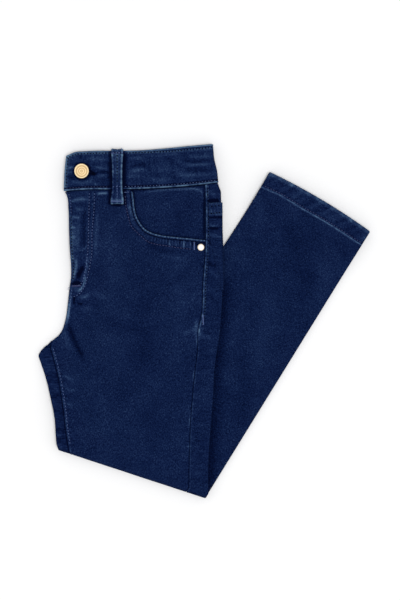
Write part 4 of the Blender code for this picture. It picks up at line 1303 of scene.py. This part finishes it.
def wave(tree, vector, direction, scale):
    made = node(tree, "TexWave", bands_direction=direction)
    made.inputs["Scale"].default_value = scale
    link(tree, vector, made.inputs["Vector"])
    return made.outputs["Fac"]


TWILL_PITCH = 0.00082
TWILL_ANGLE = math.radians(62)
# Blender's wave texture has 20 / (2 pi) bands for each unit of its scale.
BANDS_PER_UNIT = 20 / (2 * math.pi)
DENIM_TONES = (
    (0.00, (0.0007, 0.0021, 0.0135)),
    (0.18, (0.0018, 0.0058, 0.0315)),
    (0.32, (0.0039, 0.0107, 0.0470)),
    (0.48, (0.0076, 0.0186, 0.0660)),
    (0.72, (0.0260, 0.0540, 0.1240)),
    (1.00, (0.0860, 0.1560, 0.2560)),
)


def denim(name, tone, streaks=0.0, coarseness=0.94):
    """Twill denim: diagonal ridges, slubs along the warp, mottling, worn places, and shade painted
    in through the wear_and_shade attribute.
    """
    made, tree, sockets = new_material(name)
    flat = cloth_coordinates(tree, (1.0, 1.0))
    across_twill = cloth_coordinates(tree, (1.0, 1.0), TWILL_ANGLE)
    twill = wave(tree, across_twill, "X", 1 / TWILL_PITCH / BANDS_PER_UNIT)
    threads = wave(tree, flat, "Y", 0.7 / TWILL_PITCH / BANDS_PER_UNIT)
    slubs = noise(tree, cloth_coordinates(tree, (1.0, 0.4)), 1150.0, 2.0)
    weft = noise(tree, cloth_coordinates(tree, (0.5, 1.0)), 1100.0, 1.0)
    place_on = node(tree, "TexCoord").outputs["Object"]
    mottle = noise(tree, place_on, 760.0, 3.0, 0.6)
    cloud = noise(tree, place_on, 42.0, 3.0, 0.6)
    tone_shift = node(tree, "Attribute", attribute_name="wear_and_shade").outputs["Fac"]
    streaked = noise(tree, cloth_coordinates(tree, (0.22, 1.0)), 230.0, 2.0)
    layers = (
        (twill, 0.2), (threads, 0.06), (slubs, 0.82), (weft, 0.54), (mottle, 0.94), (cloud, 0.3),
        (streaked, streaks)
    )
    grain = -sum(amount for _, amount in layers) / 2
    for source, amount in layers:
        grain = math_node(tree, "MULTIPLY_ADD", source, amount, grain)
    smoother = math_node(tree, "MULTIPLY_ADD", tone_shift, -0.9, 1.0)
    smoother = math_node(tree, "MINIMUM", math_node(tree, "MAXIMUM", smoother, 0.4), 1.0)
    grain = math_node(tree, "MULTIPLY", grain, coarseness)
    value = math_node(tree, "MULTIPLY_ADD", grain, smoother, tone)
    value = math_node(tree, "ADD", value, tone_shift)
    colour_by(tree, value, DENIM_TONES, sockets)
    relief = math_node(tree, "ADD", twill, math_node(tree, "MULTIPLY", slubs, 0.8))
    raise_by(tree, relief, 0.35, 0.00012, sockets)
    set_values(sockets, {
        "Roughness": 0.92, "Specular IOR Level": 0.01, "Sheen Weight": 0.008,
        "Sheen Roughness": 0.6, "Sheen Tint": (0.35, 0.5, 0.9, 1.0),
    })
    return made


def thread(name, colour):
    """Thread that is darker and lighter than its colour by turns."""
    made, tree, sockets = new_material(name)
    grain = noise(tree, node(tree, "TexCoord").outputs["Object"], 700.0, 2.0)
    dark, light = ([value * share for value in colour] for share in (0.55, 1.4))
    colour_by(tree, grain, ((0.0, dark), (1.0, light)), sockets)
    set_values(sockets, {"Roughness": 0.7, "Specular IOR Level": 0.02})
    return made


def polished(name, colour, edge, roughness):
    """Plated metal: a little paler where the wear_and_shade attribute says, and finely brushed."""
    made, tree, sockets = new_material(name)
    tone_shift = node(tree, "Attribute", attribute_name="wear_and_shade").outputs["Fac"]
    grain = noise(tree, node(tree, "TexCoord").outputs["Object"], 1500.0, 2.0)
    value = math_node(tree, "ADD", tone_shift, math_node(tree, "MULTIPLY", grain, 0.16))
    colour_by(tree, value, ((0.0, colour), (1.0, edge)), sockets)
    raise_by(tree, grain, 0.15, 0.00003, sockets)
    set_values(sockets, {"Metallic": 1.0, "Roughness": roughness})
    return made


def surface_under(pieces):
    """A function that drops a point in millimetres onto the pieces, from above."""
    graph = bpy.context.evaluated_depsgraph_get()
    trees = [BVHTree.FromObject(piece, graph) for piece in pieces]

    def drop(x, y):
        best, way = None, None
        for tree in trees:
            hit, normal, _, _ = tree.ray_cast((x * MM, y * MM, 0.1), (0, 0, -1))
            if hit and (best is None or hit.z > best.z):
                best, way = hit, normal
        if best is None:
            return None
        return np.array(best) / MM, np.array(way if way.z > 0 else -way)

    return drop


NAVY_THREAD = 1.5
PALE_THREAD = 0.7
STITCH_LIFT = 0.2
BAR_PITCH = 0.62
BAR_LIFT = 0.3
STITCH_RINGS = np.array((-1.0, -0.78, 0.0, 0.78, 1.0))
STITCH_SIDES = 6


def stitch_points(start, end, normal, width, lift):
    """One stitch: a short thread that dives into the cloth at both ends."""
    way = end - start
    length = np.linalg.norm(way)
    way = way / length
    normal = unit(normal - way * float(normal @ way))
    side = np.cross(way, normal)
    middle = (start + end) / 2
    rings = []
    for share in STITCH_RINGS:
        radius = width / 2 * math.sqrt(1.02 - share * share)
        centre = middle + way * share * length / 2 + normal * (lift * (1 - share * share) - 0.12)
        for number in range(STITCH_SIDES):
            angle = 2 * math.pi * number / STITCH_SIDES
            rings.append(centre + radius * (side * math.cos(angle) + normal * math.sin(angle) * 0.8))
    return rings


def stitch_faces():
    faces = [tuple(range(STITCH_SIDES))[::-1]]
    for ring in range(len(STITCH_RINGS) - 1):
        for number in range(STITCH_SIDES):
            first = ring * STITCH_SIDES + number
            second = ring * STITCH_SIDES + (number + 1) % STITCH_SIDES
            faces.append((first, second, second + STITCH_SIDES, first + STITCH_SIDES))
    last = (len(STITCH_RINGS) - 1) * STITCH_SIDES
    faces.append(tuple(last + number for number in range(STITCH_SIDES)))
    return faces


def add_stitches(name, stitches, finish):
    """Joins stitches, each (start, end, normal, width, lift), into one mesh."""
    points, faces = [], []
    one = stitch_faces()
    for stitch in stitches:
        base = len(points)
        points += stitch_points(*stitch)
        faces += [tuple(corner + base for corner in face) for face in one]
    points = np.array(points)
    return add_mesh(name, points, faces, np.zeros(len(points)), points[:, :2], finish)


def sew(drop, path, length, width, seed):
    """Stitches along a path in the plan, dropped onto the cloth."""
    generator = np.random.default_rng(seed)
    line = spline(path, STITCH_PITCH)
    stitches = []
    for first, second in zip(line, line[1:]):
        way = unit(second - first)
        middle = (first + second) / 2 + generator.normal(0, 0.08, 2)
        reach = length / 2 * generator.uniform(0.85, 1.1)
        ends = [drop(*(middle + way * reach * sign)) for sign in (-1, 1)]
        if None in ends:
            continue
        (start, normal), (end, other) = ends
        if abs(start[2] - end[2]) > 1.2:
            continue
        stitches.append((start, end, normal + other, width, STITCH_LIFT))
    return stitches


def bartack(drop, start, end, width):
    """A bar of close stitches across the line from start to end."""
    start, end = np.array(start, float), np.array(end, float)
    way = unit(end - start)
    side = np.array((-way[1], way[0])) * width / 2
    reach = side + way * BAR_PITCH * 0.3
    count = max(int(np.linalg.norm(end - start) / BAR_PITCH), 2)
    stitches = []
    for number in range(count):
        middle = mix(start, end, (number + 0.5) / count)
        ends = [drop(*(middle + reach * sign)) for sign in (-1, 1)]
        if None in ends:
            continue
        (first, normal), (second, other) = ends
        high = max(first[2], second[2])
        first[2] = second[2] = high
        stitches.append((first, second, normal + other, BAR_PITCH, BAR_LIFT))
    return stitches


def beside(line, table_function, away):
    """Points beside a seam: the seam's x at each y, moved across."""
    y = np.linspace(*line, 40)
    return np.stack((table_function(y) + away, y), 1)


def turned(name, profile, place_at, finish, steps=96):
    """A turned piece: the profile's rows are (radius, height, wear), from its top down."""
    profile = np.array(profile, float)
    angle = 2 * math.pi * np.arange(steps) / steps
    radius, height, tone_shift = (column[:, None] for column in profile.T)
    grid = np.stack(
        (place_at[0] + radius * np.cos(angle), place_at[1] + radius * np.sin(angle),
         place_at[2] + height + 0 * angle), -1
    )
    corner = point_numbers(grid)
    after = np.roll(corner, -1, axis=1)
    faces = np.stack((corner[:-1], corner[1:], after[1:], after[:-1]), -1).reshape(-1, 4).tolist()
    faces += [corner[0].tolist(), corner[-1][::-1].tolist()]
    wear_and_shade = np.broadcast_to(tone_shift, grid.shape[:2])
    return add_mesh(name, grid, faces, wear_and_shade, grid[..., :2], finish)


BUTTON_INSIDE = 0.3


def build_button(finish):
    """A tack button, a little inside its solid: a dished disc with rings and a round rim."""
    radius = BUTTON_RADIUS - BUTTON_INSIDE
    profile = [(0.02, 2.86, 0.5)]
    for share in np.linspace(0.05, 0.7, 40):
        ring = math.cos(2 * math.pi * share / 0.28)
        profile.append((radius * share, 2.62 - 0.5 * share**2 + 0.1 * ring, 0.36 + 0.3 * ring))
    rim = ((0.74, 2.34, 0.1), (0.77, 2.42, 0.4), (0.81, 2.74, 0.7), (0.86, 2.95, 1.0),
           (0.91, 2.98, 1.0), (0.95, 2.82, 0.9), (0.985, 2.5, 0.6), (1.0, 2.15, 0.3),
           (0.99, 1.8, 0.1), (0.95, 1.5, 0.0), (0.6, 1.2, 0.0), (0.47, 1.0, 0.0), (0.45, 0.0, 0.0))
    profile += [(radius * share, height, tone_shift) for share, height, tone_shift in rim]
    over_band = BAND_WALL + BAND_PITCH * 4 + CLEARANCE
    return turned("waist_button_metal", profile, (*BUTTON_PLACE, over_band), finish)


def build_rivet(finish, level):
    radius = RIVET_RADIUS
    rows = ((0.005, 1.24, 1.0), (0.25, 1.2, 1.0), (0.5, 1.1, 1.0), (0.66, 0.96, 0.95),
            (0.72, 0.84, 0.5), (0.76, 0.8, 0.2), (0.8, 0.86, 0.5), (0.88, 0.82, 0.5),
            (0.95, 0.62, 0.3), (1.0, 0.34, 0.1), (1.0, 0.0, 0.0))
    profile = [(radius * share, height, tone_shift) for share, height, tone_shift in rows]
    return turned("pocket_rivet_metal", profile, (*RIVET_PLACE, level), finish, 64)


# The waistband's low row is mauve for this many points of its line, from the left.
MAUVE_POINTS = 12


def build_sewing(pieces, navy, lilac, mauve):
    """Every visible row of stitches, bartack and buttonhole, lying on the cloth."""
    drop = surface_under(pieces)
    band_x = np.linspace(-155.0, 10.0, 40)
    low_x = np.linspace(-155.0, 13.5, 40)
    low_line = np.stack((low_x, band_low(low_x) + BAND_LOW_ROW), 1)
    rows = {
        "waistband_stitches": [
            (np.stack((band_x, band_top(band_x) - band_row(band_x)), 1), 2.0, navy),
            (low_line[:MAUVE_POINTS], 1.6, mauve),
            (low_line[MAUVE_POINTS:], 1.5, lilac),
            (((-152.2, 184.0), (-153.6, 168.0), (-154.6, 150.0)), 1.9, navy),
        ],
        "fly_stitches": [
            (FLY_OUTER_STITCH, 1.9, lilac),
            (FLY_INNER_STITCH, 1.9, lilac),
            (beside((143.0, 120.0), front_edge, 2.9), 1.9, lilac),
            (beside((118.0, 46.0), front_edge, 2.7), 1.9, navy),
            (beside((36.0, 2.0), front_edge, 2.9), 1.9, lilac),
        ],
        "scoop_stitches": [
            (offset_line(SCOOP, 2.4), 1.9, navy),
            (SCOOP_OUTER_STITCH, 2.5, mauve),
            (((-89.7, 144.4), (-84.8, 144.5), (-80.0, 144.4)), 3.3, lilac),
        ],
        "side_seam_stitches": [(beside((150.0, -4.0), side_seam, 2.8), 2.0, navy)],
        "inseam_stitches": [(beside((-30.0, -138.0), front_edge, 2.8), 2.0, lilac)],
        "hem_stitches": [(np.array(HEM_STITCH) + HEM_STITCH_AWAY, 2.0, mauve)],
        "back_pocket_stitches": [
            (((6.6, 128.0), (13.0, 128.8), (18.4, 129.4)), 2.0, navy),
            (((6.6, 120.0), (13.0, 120.8), (18.6, 121.4)), 2.0, navy),
        ],
        "belt_loop_stitches": [
            (((BELT_LOOP_X, 187.0), (BELT_LOOP_X, 171.0), (BELT_LOOP_X, 155.0)), 2.0, navy),
            (((BELT_LOOP_X, 153.0), (BELT_LOOP_X, 145.0), (BELT_LOOP_X, 137.6)), 1.8, lilac),
        ],
    }
    made = []
    for number, (name, lines) in enumerate(rows.items()):
        for finish in (navy, lilac, mauve):
            stitches = []
            for path, length, thread_finish in lines:
                if thread_finish is finish:
                    width = NAVY_THREAD if finish is navy else PALE_THREAD
                    stitches += sew(drop, path, length, width, number)
            if stitches:
                made.append(add_stitches(f"{name}_{finish.name}", stitches, finish))
    left, right = BELT_LOOP_X - LOOP_WIDTH / 2, BELT_LOOP_X + LOOP_WIDTH / 2
    fly_bar = bartack(drop, (-148.4, 39.4), (-138.0, 39.8), 1.7)
    bars = []
    for start, end, width in (
        ((-11.0, 79.7), (-11.0, 88.7), 1.7),
        ((-1.2, 6.9), (-1.0, -4.3), 1.6),
        ((left, 134.4), (right, 134.0), 1.6),
        ((left + 0.6, 188.0), (right - 0.6, 188.6), 1.3),
    ):
        bars += bartack(drop, start, end, width)
    made.append(add_stitches("fly_bartack", fly_bar, mauve))
    made.append(add_stitches("bartacks", bars, lilac))
    made.append(add_stitches("buttonhole_stitches", buttonhole(drop), navy))
    return made


def offset_line(path, away):
    """A smooth line beside a path, to the right of its way."""
    line = spline(path, 1.5)
    way = ways_along(line)
    return line + np.stack((way[:, 1], -way[:, 0]), 1) * away


def buttonhole(drop):
    """Thread wound round the end of the buttonhole that shows beside the button."""
    start, end = np.array((-131.0, 168.8)), np.array((-122.6, 164.6))
    way = unit(end - start)
    side = np.array((-way[1], way[0]))
    stitches = []
    for sign in (-1, 1):
        for share in np.linspace(0.0, 1.0, 14):
            middle = mix(start, end, share) + side * sign * mix(2.3, 0.5, share)
            ends = [drop(*(middle + side * reach)) for reach in (-0.75, 0.75)]
            if None not in ends:
                (first, normal), (second, _) = ends
                stitches.append((first, second, normal, 0.55, 0.22))
    return stitches


THREAD_SIDES = 5
THREAD_RADIUS = 0.22


def build_loose_threads(finish):
    """Short loose ends of thread, at the fly's bartack and on top of the belt loop."""
    ends = (
        ((-148.8, 38.6, 12.4), (-151.2, 38.0, 12.0), (-152.4, 36.4, 11.0), (-152.0, 34.8, 10.2)),
        ((-92.6, 191.6, 11.6), (-92.2, 193.0, 11.8), (-93.0, 194.2, 11.2)),
    )
    angle = 2 * math.pi * np.arange(THREAD_SIDES) / THREAD_SIDES
    ring = THREAD_RADIUS * np.stack((np.cos(angle), 0 * angle, np.sin(angle)), 1)
    made = []
    for number, path in enumerate(ends):
        rings = spline(path, 0.5)[:, None] + ring
        flat = np.zeros((*rings.shape[:2], 2))
        made.append(loft(f"loose_thread_{number + 1}", rings, flat[..., 0], flat, finish))
    return made


FLOOR_HALF = 3.0
FLOOR_LEVEL = -0.0002


def build_floor():
    mesh = bpy.data.meshes.new("floor")
    square = [(x * FLOOR_HALF, y * FLOOR_HALF, FLOOR_LEVEL) for x, y in
              ((-1, -1), (1, -1), (1, 1), (-1, 1))]
    mesh.from_pydata(square, [], [(0, 1, 2, 3)])
    white, _, sockets = new_material("floor_white")
    set_values(sockets, {
        "Base Color": (0.93, 0.93, 0.935, 1.0), "Roughness": 0.95, "Specular IOR Level": 0.0,
    })
    mesh.materials.append(white)
    floor = bpy.data.objects.new("floor", mesh)
    bpy.context.collection.objects.link(floor)


FRAME_CENTRE = (-4.6, 23.7)
FRAME_HEIGHT = 672.0
CAMERA_DISTANCE = 2400.0
CLOTH_LEVEL = 10.0
SENSOR = 36.0


def add_camera():
    """Straight above the jeans, with the photograph's frame at the cloth's level."""
    camera = bpy.data.cameras.new("camera")
    camera.sensor_fit = "VERTICAL"
    camera.sensor_height = SENSOR
    camera.lens = SENSOR * CAMERA_DISTANCE / FRAME_HEIGHT
    camera.clip_end = 50.0
    made = bpy.data.objects.new("camera", camera)
    made.location = [value * MM for value in (*FRAME_CENTRE, CAMERA_DISTANCE + CLOTH_LEVEL)]
    bpy.context.collection.objects.link(made)
    bpy.context.scene.camera = made


KEY_PLACE = (0.3, -0.3, 4.0)
KEY_SIZE = 1.6
KEY_POWER = 86.0
WORLD_STRENGTH = 0.6


def add_lights():
    """A white studio all round, and one large soft light above."""
    world = bpy.data.worlds.new("studio")
    world.use_nodes = True
    set_values(world.node_tree.nodes["Background"].inputs, {
        "Color": (1.0, 1.0, 1.0, 1.0), "Strength": WORLD_STRENGTH,
    })
    bpy.context.scene.world = world
    light = bpy.data.lights.new("key", "AREA")
    light.shape = "DISK"
    light.size = KEY_SIZE
    light.energy = KEY_POWER
    made = bpy.data.objects.new("key", light)
    made.location = KEY_PLACE
    made.rotation_euler = (-made.location.normalized()).to_track_quat("-Z", "Y").to_euler()
    bpy.context.collection.objects.link(made)
    bpy.context.scene.view_settings.view_transform = "Standard"


def main():
    leg = denim("denim_leg", 0.32)
    even = denim("denim_even", 0.306)
    leg_back = denim("denim_back", 0.29, 0.36)
    band = denim("denim_band", 0.35, 0.24, 0.84)
    trim = denim("denim_trim", 0.5, 0.2, 0.84)
    navy = thread("thread_navy", (0.0005, 0.001, 0.005))
    lilac = thread("thread_lilac", (0.095, 0.14, 0.31))
    mauve = thread("thread_mauve", (0.06, 0.07, 0.17))
    gold = polished("pale_gold", (0.58, 0.41, 0.20), (0.97, 0.80, 0.53), 0.66)
    silver = polished("rivet_gold", (0.50, 0.36, 0.18), (0.95, 0.94, 0.90), 0.6)

    cloth = {
        "left_front": build_left_front(leg),
        "left_back": build_left_back(leg_back),
        "right_front": build_right_front(even),
        "hidden_layers": build_hidden_layers(leg),
        "waistband": build_waistband(band),
        "belt_loop": build_belt_loop(trim),
        "pocket_facing": build_pocket_facing(even),
        "back_pocket": build_back_pocket(leg_back),
    }
    drop = surface_under([cloth["left_front"]])
    rivet_seat = max(
        drop(RIVET_PLACE[0] + dx, RIVET_PLACE[1] + dy)[0][2]
        for dx, dy in ((-3, 0), (0, 0), (0, 3), (0, -3), (3, 0))
    )
    metal = {
        "waist_button": build_button(gold),
        "pocket_rivet": build_rivet(silver, rivet_seat + RIVET_LIFT),
    }
    for name, piece in cloth.items():
        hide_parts(name)
    for name, piece in metal.items():
        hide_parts(name)
    sewing = build_sewing(list(cloth.values()), navy, lilac, mauve)
    for piece in sewing + build_loose_threads(lilac):
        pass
    build_floor()
    add_camera()
    add_lights()


main()
